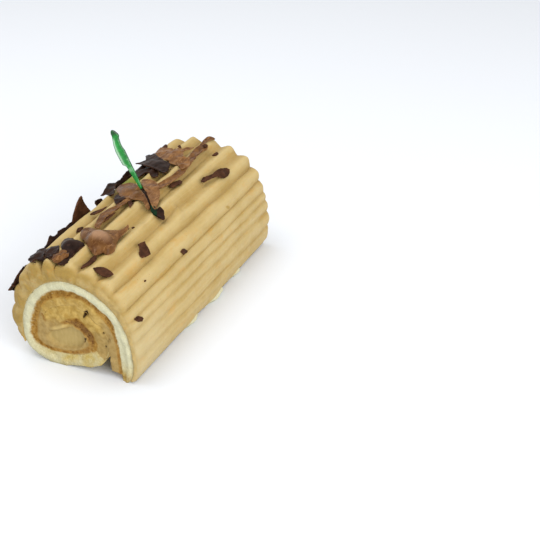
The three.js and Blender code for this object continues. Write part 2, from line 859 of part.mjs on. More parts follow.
// A ribbon along a path of [share, y, height, width] spots, arched across.
function ribbonSurface({ path, arch }) {
  const line = new THREE.CatmullRomCurve3(path.map((spot) => overCoat(...spot)));
  const widths = path.map((spot, i) => [i / (path.length - 1), spot[3]]);
  return (u, v) => {
    const along = THREE.MathUtils.clamp(v, 0, 1);
    const tangent = line.getTangent(along);
    const spot = readRow(path, along);
    const out = overCoat(spot[0], spot[1], 1).sub(overCoat(spot[0], spot[1], 0));
    const sideways = tangent.clone().cross(out).normalize();
    const point = line.getPoint(along).addScaledVector(tangent, (v - along) * line.getLength());
    const rise = 4 * arch * u * (1 - u);
    return point
      .addScaledVector(sideways, (u - 0.5) * readTable(widths, along))
      .addScaledVector(out, rise);
  };
}

// The row of a path at a share of the way along it.
function readRow(path, share) {
  const at = share * (path.length - 1);
  const i = Math.min(path.length - 2, Math.floor(at));
  return path[i].map((value, k) => lerp(value, path[i + 1][k], at - i));
}

function chocolateSolid(parts, grow) {
  const solids = parts.map((part) => {
    const surface = part.path ? ribbonSurface(part) : plateSurface(part);
    const thickness = CHOCOLATE_THICKNESS + 2 * grow;
    return toSolid(thinSolid(surface, part.grid, thickness, grow * GROWTH_SHARE));
  });
  return solids.reduce((whole, solid) => whole.add(solid));
}

// A flake: a low lump with straight sides, half sunk in the coat.
function flakeSolid(share, y, long, wide, turn) {
  const top = overCoat(share, y, 1);
  const out = top.clone().sub(overCoat(share, y, 0)).normalize();
  const along = new THREE.Vector3(0, 1, 0).applyAxisAngle(out, turn);
  const across = along.clone().cross(out);
  const height = ridgeHeight(share, y) + FLAKE_RISE;
  const points = [];
  for (const [level, size] of [[height - FLAKE_DEPTH, FLAKE_TAPER], [height, 1]]) {
    for (let k = 0; k < FLAKE_SIDES; k++) {
      const angle = (2 * Math.PI * k) / FLAKE_SIDES;
      const point = overCoat(share, y, level)
        .addScaledVector(along, (Math.cos(angle) * size * long) / 2)
        .addScaledVector(across, (Math.sin(angle) * size * wide) / 2);
      points.push(point);
    }
  }
  const index = [];
  const sides = FLAKE_SIDES;
  for (let k = 0; k < sides; k++) {
    const next = (k + 1) % sides;
    index.push(k, next, k + sides, next, next + sides, k + sides);
    if (k > 0 && next > 0) index.push(0, next, k, sides, k + sides, next + sides);
  }
  return toSolid(closedGeometry(points, index));
}

const coatGrown = toSolid(loft(STATIONS.map((y) => coatRing(y, GAP))));
for (const { name, kind, parts } of CHOCOLATE) {
  const whole = chocolateSolid(parts, 0);
  const clear = [coatGrown, ...taken].reduce((rest, solid) => rest.subtract(solid), whole);
  addNode(name, toGeometry(largestBody(clear)), kind);
  taken.push(chocolateSolid(parts, GAP));
}

const random = seeded(FLAKE_SEED);
const strewn = Array.from({ length: STREWN_FLAKES }, () => [
  lerp(...STREWN_SHARES, random()),
  lerp(-STREWN_REACH, STREWN_REACH, random()),
  lerp(...STREWN_LENGTHS, random()),
  lerp(...STREWN_WIDTHS, random()),
  Math.PI * random(),
]);
for (const flake of [...FLAKES, ...strewn]) {
  const solid = flakeSolid(...flake);
  const clear = taken.every((other) => other.intersect(solid).volume() === 0);
  if (clear) coatSolid = coatSolid.add(solid);
}
addNode("cream_coat", toGeometry(largestBody(coatSolid)), "coat");

export default log;
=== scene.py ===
"""The looks of a yule log cake: rolled sponge, coffee cream, combed coat, chocolate and pick.

Sections are in millimetres, x to the right and z up, with the log along y and its cut end
at NEAR. Meshes are made in millimetres and stored in metres, in the frame of the CAD.
"""

import itertools
import math
from collections import defaultdict

import bmesh
import bpy
import numpy as np
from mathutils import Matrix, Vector
from mathutils.geometry import delaunay_2d_cdt


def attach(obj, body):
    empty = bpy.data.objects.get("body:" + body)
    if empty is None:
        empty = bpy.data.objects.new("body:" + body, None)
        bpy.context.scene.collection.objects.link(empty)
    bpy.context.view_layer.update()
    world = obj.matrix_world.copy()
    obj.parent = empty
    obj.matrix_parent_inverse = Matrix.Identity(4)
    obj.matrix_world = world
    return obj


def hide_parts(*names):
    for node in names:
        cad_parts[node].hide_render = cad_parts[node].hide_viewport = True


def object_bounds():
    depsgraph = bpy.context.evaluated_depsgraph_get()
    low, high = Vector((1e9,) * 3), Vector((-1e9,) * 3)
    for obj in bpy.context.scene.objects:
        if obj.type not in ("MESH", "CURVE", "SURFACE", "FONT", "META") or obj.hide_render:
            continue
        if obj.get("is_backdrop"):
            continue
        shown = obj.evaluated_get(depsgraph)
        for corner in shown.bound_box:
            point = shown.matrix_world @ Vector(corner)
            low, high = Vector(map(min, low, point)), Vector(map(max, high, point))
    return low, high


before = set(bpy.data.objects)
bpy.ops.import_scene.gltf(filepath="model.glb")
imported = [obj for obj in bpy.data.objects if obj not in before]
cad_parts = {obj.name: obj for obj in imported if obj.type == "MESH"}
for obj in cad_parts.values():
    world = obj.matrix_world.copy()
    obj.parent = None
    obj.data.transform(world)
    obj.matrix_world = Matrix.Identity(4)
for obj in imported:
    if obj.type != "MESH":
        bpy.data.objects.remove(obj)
cad_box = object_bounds()

MM = 0.001

# ---- the log and the pick, as in the solids
LENGTH = 200
NEAR = -LENGTH / 2
FAR = LENGTH / 2
FAR_WIDTH = 1.08
FAR_HEIGHT = 1.112
FAR_SHIFT = -1.2

SHEET_PATH = [
    (36.5, 0), (38.4, 10), (38.2, 22), (35.4, 34), (29.5, 44.5), (20, 52.5), (9, 57),
    (-2, 57.5), (-12.5, 54), (-21.5, 46.5), (-28, 36), (-31, 24.5), (-30.2, 13), (-22, 6.9),
    (-10, 5.3), (1, 5.3), (11, 8), (18.2, 14.3), (21, 23), (19.8, 31.5), (14, 38.5),
    (5.5, 42), (-4, 41.6), (-12, 38.6), (-18, 34),
]
SHEET_THICKNESS = [
    (0, 3.5), (0.011, 7), (0.035, 9), (0.1, 9.3), (0.22, 11.4), (0.32, 12), (0.46, 10.8),
    (0.62, 10.4), (0.75, 11.2), (0.93, 10.2), (0.98, 7), (1, 3.5),
]
COAT_SHARE = 31 / 56  # the coat covers this much of the sheet
CURVE_STEPS = 6001
STRIP_THICKNESS = 7
STRIP_START = 0.012
NOTCH = 0.765
STRIP_TOP = 0.066

COAT_PATH = [
    (-39.6, 10.5), (-43.8, 25), (-41.8, 43), (-36.8, 56), (-27.8, 66.5), (-14, 71.6), (0, 73),
    (13, 71.4), (26.4, 66.2), (37, 56.7), (43.4, 43.2), (46.3, 30), (47.2, 16), (45.5, 6),
    (43, 1),
]
# Each ridge ends at a share of the way round, at the near and far end, and has a height.
RIDGES = [
    (0.048, 0.06, 1.6), (0.15, 0.15, 2.8), (0.23, 0.23, 3), (0.303, 0.3, 3.4),
    (0.38, 0.382, 4), (0.44, 0.447, 4.4), (0.521, 0.531, 4.4), (0.593, 0.605, 4.2),
    (0.659, 0.674, 3.8), (0.728, 0.738, 3.2), (0.767, 0.782, 1.6), (0.8, 0.815, 1.2),
    (0.838, 0.858, 1.4), (0.9, 0.92, 1.6), (1, 1, 1.4),
]
RIDGE_WANDER = 0.005
NEAR_ROUNDING = 3.5
FAR_ROUNDING = 3
NEAR_DROP = 0.32
FAR_DROP = 0.1
THINNEST_COAT = 1.2
BULGES = [(-28, 15, 2.2), (8, 19, 3.4), (43, 13, 1.4)]  # at, reach, out
BULGE_HEIGHT = 9
EDGE_LIFT = 4.8
COAT_LENGTH = 185
EDGE_FADE = 0.025

PICK_FOOT = (0.444, 6.3, 2.4)
PICK_RISE = (-0.437, 0, 0.9)
PICK_BROAD_SIDE = (0.33, -0.8, 0.5)
PICK_THICKNESS = 2
# The pick's left and right edges: how far up, how far to the side.
PICK_LEFT = [
    (-7, -1.2), (0, -1.3), (3.5, -1.3), (9.6, -1.9), (14.8, -2.3), (17.3, -2.5), (18.2, -3.5),
    (19.1, -4.3), (23.4, -4.5), (29.1, -4.6), (34, -3.8), (37, -2.9), (39.2, -2.2), (41.4, -2.1),
    (42.7, -1.6), (43.4, -0.9),
]
PICK_RIGHT = [
    (-7, 1.2), (1.2, 1.2), (11.1, 1.5), (16.4, 1.5), (21.3, 1.6), (27.6, 1.8), (30, 1.3),
    (32.4, 1.2), (36.6, 1.8), (38.2, 2.7), (39.6, 2.6), (40.9, 2), (42.2, 1.5), (43.4, 0.2),
]

PICK_ROWS, PICK_COLUMNS = 110, 28
PICK_SQUARED = 0.7  # less than 1 makes its rounded section squarer
# The outline of the pick's tip between the milk plates: shares in thousandths and y.
PICK_TIP = [
    (533, -13.2), (540, -12.2), (553, -13), (564, -16), (579, -21.1), (565, -21.1), (551, -19),
    (539, -15.9),
]

# ---- numbers and curves


def lerp(a, b, share):
    return a + (b - a) * share


def smooth(value, low, high):
    """0 below low, 1 above high, and a soft step between."""
    t = np.clip((np.asarray(value, float) - low) / (high - low), 0, 1)
    return t * t * (3 - 2 * t)


def bump(distance, reach):
    return (1 + np.cos(np.pi * np.minimum(1, np.abs(distance) / reach))) / 2


def lattice(x, y, z, seed):
    """A number from -1 to 1 for each whole-number spot."""
    h = (x * 73856093) ^ (y * 19349663) ^ (z * 83492791) ^ (seed * 264443536)
    h = ((h ^ (h >> 13)) * 1274126177) & 0xFFFFFFFF
    h = ((h ^ (h >> 15)) * 2246822519) & 0xFFFFFFFF
    return ((h >> 8) & 0xFFFF) / 32767.5 - 1


def waves(points, size, seed=0):
    """Soft random waves of about that size, from -1 to 1, at each point. The seed sets
    those of one use apart from the others."""
    spots = np.asarray(points, float) / size + 100
    low = np.floor(spots).astype(np.int64)
    share = spots - low
    share = share * share * (3 - 2 * share)
    total = 0
    for dx in (0, 1):
        for dy in (0, 1):
            for dz in (0, 1):
                weight = 1
                for axis, step in enumerate((dx, dy, dz)):
                    weight = weight * (share[..., axis] if step else 1 - share[..., axis])
                corner = [low[..., axis] + step for axis, step in enumerate((dx, dy, dz))]
                total = total + weight * lattice(*corner, seed)
    return total


def rough(points, size, seed=0, layers=3):
    """Waves with finer ones on them."""
    return sum(waves(points, size / 2**k, seed + k) / 2**k for k in range(layers))


def distances(points, others):
    """How far each point is from each of the others."""
    return np.hypot(*(points[:, None] - others[None]).transpose(2, 0, 1))


def between(before, start, end, after, w):
    """A spot from start to end of a smooth curve through four points, and its direction."""
    v0, v1 = (end - before) / 2, (after - start) / 2
    cube, square = 2 * start - 2 * end + v0 + v1, 3 * end - 3 * start - 2 * v0 - v1
    return (cube * w**3 + (square * w**2 + v0 * w + start),
            3 * cube * w**2 + (2 * square * w + v0))


def on_curve(line, at):
    """The same on a line of points that has one more at each end, at row numbers."""
    i = np.minimum(at.astype(int), len(line) - 4)
    return between(*[line[i + k] for k in range(4)], (at - i)[..., None])


def section_curve(points, outward_turn):
    """A curve through points of a section, read by share of its length."""
    p = np.array(points, float)
    at = np.linspace(0, len(p) - 1, CURVE_STEPS)
    curve, _ = on_curve(np.vstack([p[0], p, p[-1]]), at)
    length = np.r_[0, np.cumsum(np.hypot(*np.diff(curve, axis=0).T))]
    length /= length[-1]
    tangent = np.gradient(curve, axis=0)
    tangent /= np.hypot(*tangent.T)[:, None]
    outward = np.stack([tangent[:, 1], -tangent[:, 0]], -1) * outward_turn

    def read(share):
        flat = np.clip(share, 0, 1)
        both = [np.interp(flat, length, column) for column in (*curve.T, *outward.T)]
        return np.stack(both[:2], -1), np.stack(both[2:], -1)

    return read


def place(point, y):
    """A point of the section, placed at y along the log."""
    t = (np.asarray(y, float) - NEAR) / LENGTH
    x = point[..., 0] * lerp(1, FAR_WIDTH, t) + FAR_SHIFT * t
    z = point[..., 1] * lerp(1, FAR_HEIGHT, t)
    return np.stack([x, np.broadcast_to(y, x.shape), z], -1)


sheet_at = section_curve(SHEET_PATH, 1)
coat_at = section_curve(COAT_PATH, -1)


def sheet_half(share):
    return np.interp(share, *zip(*SHEET_THICKNESS)) / 2


def opened(y):
    """How far the coat's lower edge is lifted off the crumb: slowly up, then back at once."""
    lifts = []
    for at, reach, _ in BULGES:
        rise = np.clip((y - at + 0.7 * reach) / (1.25 * reach), 0, 1) ** 0.35
        lifts.append(rise * (1 - smooth(y, at + 0.6 * reach, at + 0.85 * reach)))
    return np.max(lifts, axis=0)


def bulge_out(z, y):
    here = np.max([out * bump(y - at, reach) for at, reach, out in BULGES], axis=0)
    return here * bump(z, BULGE_HEIGHT)


def over_coat(share, y, height):
    point, out = coat_at(share)
    return place(point + out * np.asarray(height)[..., None], y)


# ---- meshes

MERGED_M = 1e-6  # points closer together than this become one


def add_mesh(name, points, faces, material, nodes, attributes):
    """A piece from points in millimetres. It replaces the CAD nodes that are named."""
    mesh = bpy.data.meshes.new(name)
    mesh.from_pydata((points.reshape(-1, 3) * MM).tolist(), [], faces)
    for key, values in attributes.items():
        layer = mesh.attributes.new(key, "FLOAT", "POINT")
        layer.data.foreach_set("value", values.astype(np.float32).ravel())
    shape = bmesh.new()
    shape.from_mesh(mesh)
    bmesh.ops.remove_doubles(shape, verts=shape.verts, dist=MERGED_M)
    bmesh.ops.recalc_face_normals(shape, faces=shape.faces)
    for face in shape.faces:
        face.smooth = True
    shape.to_mesh(mesh)
    shape.free()
    piece = bpy.data.objects.new(name, mesh)
    bpy.context.collection.objects.link(piece)
    mesh.materials.append(material)
    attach(piece, "root")
    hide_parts(*nodes)


def tube_faces(rows, loop):
    """Faces between rows of closed loops, with a face over each end."""
    faces = []
    last = (rows - 1) * loop
    for a in range(0, last, loop):
        for i in range(loop):
            j = (i + 1) % loop
            faces.append((a + i, a + j, a + loop + j, a + loop + i))
    return faces + [tuple(range(loop)), tuple(range(last, last + loop))]


def closed(faces, wall, count):
    """Faces of a front, of a back whose points are count further on, and of a wall between
    them along pairs of points."""
    made = [tuple(f) for f in faces] + [tuple(i + count for i in f[::-1]) for f in faces]
    return made + [(a, b, b + count, a + count) for a, b in wall]


# ---- materials


def rgb(red, green, blue):
    """An sRGB colour from 0 to 255 as a linear one."""
    parts = [v / 255 for v in (red, green, blue)]
    return (*[v / 12.92 if v < 0.04045 else ((v + 0.055) / 1.055) ** 2.4 for v in parts], 1)


class Looks:
    """A material and short ways to add its nodes."""

    def __init__(self, name, **sockets):
        self.material = bpy.data.materials.new(name)
        self.material.use_nodes = True
        self.tree = self.material.node_tree
        self.shader = self.tree.nodes["Principled BSDF"]
        self.place = self.add("ShaderNodeTexCoord").outputs["Object"]
        for key, value in sockets.items():
            self.shader.inputs[key.replace("_", " ")].default_value = value

    def add(self, kind, inputs=(), **settings):
        """A node with those inputs, each a socket to link or a value, and settings."""
        node = self.tree.nodes.new(kind)
        for key, value in settings.items():
            setattr(node, key, value)
        for key, value in dict(inputs).items():
            if isinstance(value, bpy.types.NodeSocket):
                self.tree.links.new(value, node.inputs[key])
            else:
                node.inputs[key].default_value = value
        return node

    def stretched(self, x, y, z):
        """The place, scaled by those numbers."""
        return self.add("ShaderNodeMapping", {"Vector": self.place, "Scale": (x, y, z)}).outputs[0]

    def noise(self, size_mm, detail, roughness=0.55, where=None):
        inputs = {
            "Vector": where or self.place, "Scale": 1 / (size_mm * MM), "Detail": detail,
            "Roughness": roughness,
        }
        return self.add("ShaderNodeTexNoise", inputs).outputs["Fac"]

    def spots(self, size_mm):
        """How far it is to the nearest of evenly strewn spots, in their size."""
        inputs = {"Vector": self.place, "Scale": 1 / (size_mm * MM)}
        return self.add("ShaderNodeTexVoronoi", inputs).outputs["Distance"]

    def read(self, name):
        return self.add("ShaderNodeAttribute", attribute_name=name).outputs["Fac"]

    def sums(self, operation, a, b=0.0, c=0.0):
        return self.add("ShaderNodeMath", {0: a, 1: b, 2: c}, operation=operation).outputs[0]

    def steps(self, value, low, high, out_low=0.0, out_high=1.0):
        inputs = {0: value, 1: low, 2: high, 3: out_low, 4: out_high}
        node = self.add("ShaderNodeMapRange", inputs, interpolation_type="SMOOTHSTEP")
        return node.outputs[0]

    def mix(self, share, a, b):
        """One colour over another. A mix node has its colours at sockets 6, 7 and 2."""
        return self.add("ShaderNodeMix", {0: share, 6: a, 7: b}, data_type="RGBA").outputs[2]

    def tint(self, name, base, colour):
        """A colour laid over another by a value of the mesh."""
        return self.mix(self.read(name), base, colour)

    def times(self, a, b):
        return self.sums("MULTIPLY", a, b)

    def colour(self, socket):
        self.tree.links.new(socket, self.shader.inputs["Base Color"])

    def roughness(self, socket):
        self.tree.links.new(socket, self.shader.inputs["Roughness"])

    def tan(self):
        """Coffee-soaked crumb and cream, which look much alike at the cut end."""
        mottled = self.steps(self.noise(4, 4, 0.6), 0.34, 0.66)
        grey = self.mix(mottled, rgb(154, 127, 74), rgb(173, 146, 91))
        warm = self.mix(mottled, rgb(164, 132, 66), rgb(190, 160, 92))
        return self.tint("warm", grey, warm)

    def browned(self, base, holes):
        """The browned skin over a colour, uneven, with darker crumbs."""
        ragged = self.sums("MULTIPLY_ADD", self.noise(2, 4, 0.7), 2.6, -1.3)
        brown = self.times(self.read("brown"), self.sums("ADD", 1.0, ragged))
        shade = self.steps(self.noise(2.6, 4, 0.7), 0.34, 0.66)
        skin = self.mix(shade, rgb(139, 99, 39), rgb(167, 129, 64))
        base = self.mix(self.steps(brown, 0.05, 0.95), base, skin)
        crumbs = self.steps(holes, 0.1, 0.5, 1, 0.5)
        burnt = self.times(self.steps(brown, 0.9, 1.7), crumbs)
        return self.mix(burnt, base, rgb(84, 44, 14))

    def relief(self, *layers):
        """Bumps: (height socket, depth in mm), one over the other."""
        normal = None
        for height, depth in layers:
            inputs = {"Height": height, "Distance": depth * MM, "Strength": 1.0}
            if normal:
                inputs["Normal"] = normal
            normal = self.add("ShaderNodeBump", inputs).outputs[0]
        self.tree.links.new(normal, self.shader.inputs["Normal"])


# Painted shade: the dark inside the holes and the slit of the cut face.
PIT_SHADE = rgb(44, 24, 10)
CRUMB_HOLES = 1.5  # how far apart the small holes in the crumb are, in mm


def coat_looks():
    m = Looks("coffee_cream_coat", Roughness=0.55, IOR=1.45, Specular_IOR_Level=0.3,
              Subsurface_Weight=0.1, Subsurface_Scale=0.0015,
              Subsurface_Radius=(1.0, 0.6, 0.25))
    base = m.mix(m.steps(m.noise(24, 3, 0.6), 0.35, 0.68), rgb(181, 156, 100), rgb(169, 142, 82))
    streak = m.noise(2.2, 3, 0.6, m.stretched(1, 0.05, 1))
    base = m.mix(m.steps(streak, 0.42, 0.72, 0, 0.55), base, rgb(190, 167, 115))
    patch = m.steps(m.noise(7, 3, 0.65, m.stretched(1, 0.42, 1)), 0.55, 0.7, 0, 0.6)
    base = m.mix(patch, base, rgb(184, 143, 70))
    # Painted light: crests are painted paler as a highlight, and valleys darker as painted shade.
    valley = m.read("valley")
    base = m.mix(m.steps(valley, 0, 0.35, 0.4, 0), base, rgb(193, 172, 123))
    base = m.mix(m.steps(valley, 0.15, 0.9, 0, 0.55), base, rgb(154, 124, 66))
    golden = m.read("golden")
    uneven = m.times(golden, m.steps(m.noise(7, 3), 0.28, 0.62, 0.35, 1))
    base = m.mix(uneven, base, rgb(158, 129, 64))
    stain = m.times(golden, m.steps(m.noise(4, 3, 0.6), 0.56, 0.68, 0, 0.5))
    base = m.mix(stain, base, rgb(172, 126, 54))
    speck = m.times(m.steps(m.spots(2.6), 0.05, 0.13, 1, 0), m.steps(m.noise(7, 1), 0.55, 0.61))
    base = m.mix(m.times(speck, 0.75), base, rgb(140, 84, 32))
    # Painted light: the near end of the right side is paler.
    base = m.tint("pale", base, rgb(196, 184, 147))
    # Painted shadow: a green-tinted shade from the translucent pick.
    m.colour(m.tint("green_shadow", base, rgb(116, 124, 36)))
    m.roughness(m.steps(m.noise(3, 3), 0.3, 0.7, 0.5, 0.7))
    m.relief((m.noise(0.9, 4, 0.6), 0.14), (streak, 0.3))
    return m.material


def sponge_looks():
    """White crumb outside, a browned skin inside, and coffee-soaked tan further in."""
    m = Looks("sponge_crumb", Roughness=0.95, IOR=1.35, Specular_IOR_Level=0.12)
    crumb = m.noise(1.1, 4, 0.65)
    holes = m.spots(CRUMB_HOLES)
    light = m.steps(crumb, 0.3, 0.7)
    white = m.mix(light, rgb(196, 191, 155), rgb(208, 205, 174))
    outer_edge = m.steps(m.read("rim"), 0.86, 1.0, 0, 0.5)
    white = m.mix(outer_edge, white, rgb(190, 174, 124))
    yellow = m.mix(light, rgb(176, 150, 80), rgb(200, 180, 114))
    patch = m.steps(m.noise(7, 3), 0.36, 0.64, 0.5, 1)
    white = m.mix(m.times(m.read("yellow"), patch), white, yellow)
    soaked = m.read("soaked")
    base = m.browned(m.mix(soaked, white, m.tan()), holes)
    m.colour(m.tint("pit", base, PIT_SHADE))
    calm = m.steps(soaked, 0, 1, 1, 0.3)
    m.relief((m.noise(0.5, 3, 0.6), 0.06), (m.times(crumb, calm), 0.3),
             (m.times(m.steps(holes, 0, 0.45), calm), 0.16), (m.noise(4, 2), 0.5))
    return m.material


def filling_looks():
    m = Looks("coffee_cream", Roughness=0.65, IOR=1.42, Specular_IOR_Level=0.2)
    strokes = m.steps(m.noise(1.8, 3, 0.6, m.stretched(1, 1, 0.18)), 0.3, 0.72, 0, 0.6)
    smooth_core = m.mix(strokes, rgb(173, 149, 92), rgb(189, 166, 110))
    core = m.read("core")
    # Painted highlight: the lip over the core is paler.
    base = m.mix(core, m.tint("lip", m.tan(), rgb(198, 172, 110)), smooth_core)
    speck = m.times(m.steps(m.spots(2.2), 0.06, 0.16, 0.5, 0), m.sums("SUBTRACT", 1.0, core))
    base = m.browned(m.mix(speck, base, rgb(118, 76, 26)), m.spots(CRUMB_HOLES))
    m.colour(m.tint("pit", base, PIT_SHADE))
    m.relief((m.noise(0.7, 3, 0.55), 0.08), (m.noise(2.6, 2, 0.5), 0.16))
    return m.material


def chocolate_looks(name, deep, light, painted_sheen, rim, raised, roughness, shine):
    m = Looks(name, IOR=1.48, Specular_IOR_Level=shine)
    base = m.mix(m.steps(m.noise(6, 3, 0.6), 0.35, 0.68), rgb(*deep), rgb(*light))
    # Painted light: a sheen along the scrape marks, a highlight along the rim, and one on raised
    # spots.
    scrape = m.noise(1.1, 3, 0.6, m.stretched(1, 0.2, 0.6))
    base = m.mix(m.steps(scrape, 0.5, 0.75, 0, 0.6), base, rgb(*painted_sheen))
    uneven = m.noise(3, 2)
    at_rim = m.times(m.steps(m.read("rim"), 0.05, 0.5, 0.5, 0), m.steps(uneven, 0.4, 0.6))
    base = m.mix(at_rim, base, rgb(*rim))
    m.colour(m.mix(m.steps(m.read("raised"), 0.5, 1.1, 0, 0.8), base, rgb(*raised)))
    m.roughness(m.steps(m.noise(3, 3), 0.3, 0.7, roughness - 0.08, roughness + 0.12))
    m.relief((scrape, 0.04), (uneven, 0.1))
    return m.material


def pick_looks():
    m = Looks("green_plastic", Roughness=0.22, IOR=1.46, Subsurface_Weight=0.3,
              Subsurface_Scale=0.002, Subsurface_Radius=(0.3, 1.0, 0.4))
    base = m.mix(m.steps(m.noise(4, 2), 0.35, 0.65), rgb(18, 124, 46), rgb(38, 152, 62))
    # Painted light: the pale band is light through the plastic, and the deep right edge is painted
    # shade.
    base = m.tint("pale", base, rgb(168, 204, 174))
    m.colour(m.tint("deep", base, rgb(8, 42, 17)))
    m.relief((m.noise(3, 2), 0.15))
    return m.material


coat_material = coat_looks()
sponge_material = sponge_looks()
filling_material = filling_looks()
pick_material = pick_looks()
# The deep and light colours, the painted sheen, the painted rim and raised highlights, the
# roughness and the shine.
milk_material = chocolate_looks(
    "milk_chocolate", (84, 50, 21), (116, 78, 40), (156, 114, 72), (158, 118, 76),
    (166, 130, 100), 0.34, 0.12)
light_milk_material = chocolate_looks(
    "light_milk_chocolate", (98, 62, 30), (134, 94, 54), (172, 130, 88), (166, 126, 84),
    (168, 128, 94), 0.34, 0.12)
dark_material = chocolate_looks(
    "dark_chocolate", (26, 12, 6), (46, 26, 16), (66, 43, 32), (92, 58, 38), (60, 44, 42),
    0.36, 0.07)
flake_material = chocolate_looks(
    "thin_dark_chocolate", (54, 32, 20), (78, 48, 32), (94, 62, 46), (104, 68, 46),
    (104, 72, 60), 0.5, 0.05)
shaded_tip_material = chocolate_looks(
    "dark_green_plastic", (6, 22, 12), (10, 38, 18), (18, 70, 32), (12, 44, 20), (12, 44, 20),
    0.35, 0.06)

# ---- the cut face

# Holes in the cut face, their dark painted as shade: x, z, radius and depth.
PITS = [
    (9.3, 24.2, 1, 1), (8.9, 22.6, 0.7, 0.8), (24, 33, 0.6, 0.6), (27.4, 28.6, 0.5, 0.6),
    (12.6, 27.6, 0.45, 0.5), (24.6, 23, 0.7, 0.5),
]
CORE_DEPTH = 2.8  # how far the smooth core is sunk
# The slit between the turns, dark with painted shade, as a line of x, z, half width and strength.
SLIT_LINE = [
    (14.2, 47, 0.7, 0.7), (13.5, 45.2, 1.5, 1.2), (12.2, 43.2, 0.8, 1), (10.8, 41, 0.4, 0.9),
]
# Browned skin and burnt crumbs: lines of x, z, half width and strength.
SKIN_LINE = [
    (33, 2, 1.5, 0.9), (33.4, 10, 1.4, 0.9), (33.1, 20, 1.3, 0.8), (32.2, 30, 1.5, 0.9),
    (30.3, 38, 1.8, 1.1), (28, 42, 2.3, 1.4), (24, 46.8, 1.8, 0.95), (19, 51, 1.8, 0.9),
    (12, 54.5, 2.1, 1), (5, 55.4, 2.7, 1.1), (-2, 55.2, 3, 1.1), (-9, 53.2, 2.9, 1.1),
    (-15.5, 49.3, 2.7, 1.05), (-21, 43.2, 2.6, 1), (-24.7, 36, 2.8, 1), (-27.7, 27, 2.9, 1.05),
    (-28.6, 19, 2.7, 1.1), (-27, 14, 2.6, 1.1), (-22, 11.6, 2, 1.1), (-15, 10.8, 1.4, 1.1),
    (-8, 10.8, 1.3, 1), (0, 12, 1.3, 1), (6, 14.3, 1.5, 1), (11, 17.2, 1.7, 0.9),
    (14, 20, 1.5, 0.5),
]
BURNT_LINE = [
    (-7, 33, 0.8, 0.4), (-3, 34.4, 1.6, 1), (1, 36, 2.6, 1.4), (5, 36.2, 3.2, 1.8),
    (9.3, 33.4, 3.6, 2.3), (12.2, 29.5, 3.6, 2.5), (14, 25.6, 3.2, 2), (15.4, 22, 3, 1.3),
    (14.5, 18.6, 3.4, 0.9), (11, 16.6, 2.6, 0.9), (7, 14.6, 1.6, 0.9),
]
BROWN_SPOT = [(-19.8, 36.5, 1.1, 0.9), (-18.6, 32.5, 1.5, 1.3)]
# The outline of the smooth core, and the lip over it, raised and painted paler as a highlight, as a
# line like those above.
CORE = [
    (-19, 20), (-17.5, 23), (-12, 25.2), (-6, 27.8), (-1, 30.6), (3, 31.6), (6.6, 30), (8.6, 27),
    (8.4, 22), (7, 18.6), (3, 16), (-2, 14.4), (-8, 13.6), (-14, 14.4), (-18, 17),
]
LIP_LINE = [
    (-15, 26.6, 1, 0.4), (-10, 28.2, 1.3, 0.9), (-6.5, 30.2, 1.4, 0.9), (-2, 33.4, 1.2, 0.4),
]


def inside_polygon(points, polygon):
    x, z = points[:, 0, None], points[:, 1, None]
    x0, z0 = polygon[:, 0], polygon[:, 1]
    x1, z1 = np.roll(x0, -1), np.roll(z0, -1)
    crosses = (z0 > z) != (z1 > z)
    at = x0 + (z - z0) * (x1 - x0) / np.where(z1 == z0, 1e-9, z1 - z0)
    return (np.sum(crosses & (x < at), axis=1) % 2) == 1


def on_segments(flat, start, step):
    """For points and segments: the nearest spot's share of the way, and how far it is."""
    away = flat[:, None] - start
    share = np.clip((away * step).sum(-1) / (step**2).sum(-1), 0, 1)
    return share, np.hypot(*(away - share[..., None] * step).transpose(2, 0, 1))


def on_line(flat, line):
    """How strongly points of the section lie on a line of x, z, half width and strength."""
    rows = np.array(line, float)
    start, step = rows[:-1], np.diff(rows, axis=0)
    share, distance = on_segments(flat, start[:, :2], step[:, :2])
    _, _, width, strength = np.moveaxis(start + share[..., None] * step, -1, 0)
    return np.max(strength * (1 - smooth(distance / width, 0.3, 1.4)), axis=1)


def depth_inside(flat, outline):
    """How far inside a closed outline points are: less than 0 outside."""
    _, distance = on_segments(flat, outline, np.roll(outline, -1, 0) - outline)
    return np.where(inside_polygon(flat, outline), 1, -1) * distance.min(1)


def in_pits(x, z, flat_share):
    """For each hole, 1 over that share of its radius and 0 well away from it."""
    return np.array([1 - smooth(np.hypot(x - px, z - pz), r * flat_share, r * 1.5)
                     for px, pz, r, _ in PITS])


def pit_share(x, z):
    """How much painted shade a hole or the slit gets: 1 in its middle, and 0 away from them."""
    slit = on_line(np.stack([x, z], -1).reshape(-1, 2), SLIT_LINE).reshape(x.shape)
    return np.maximum(in_pits(x, z, 0.5).max(0), np.clip(1.6 * slit, 0, 1))


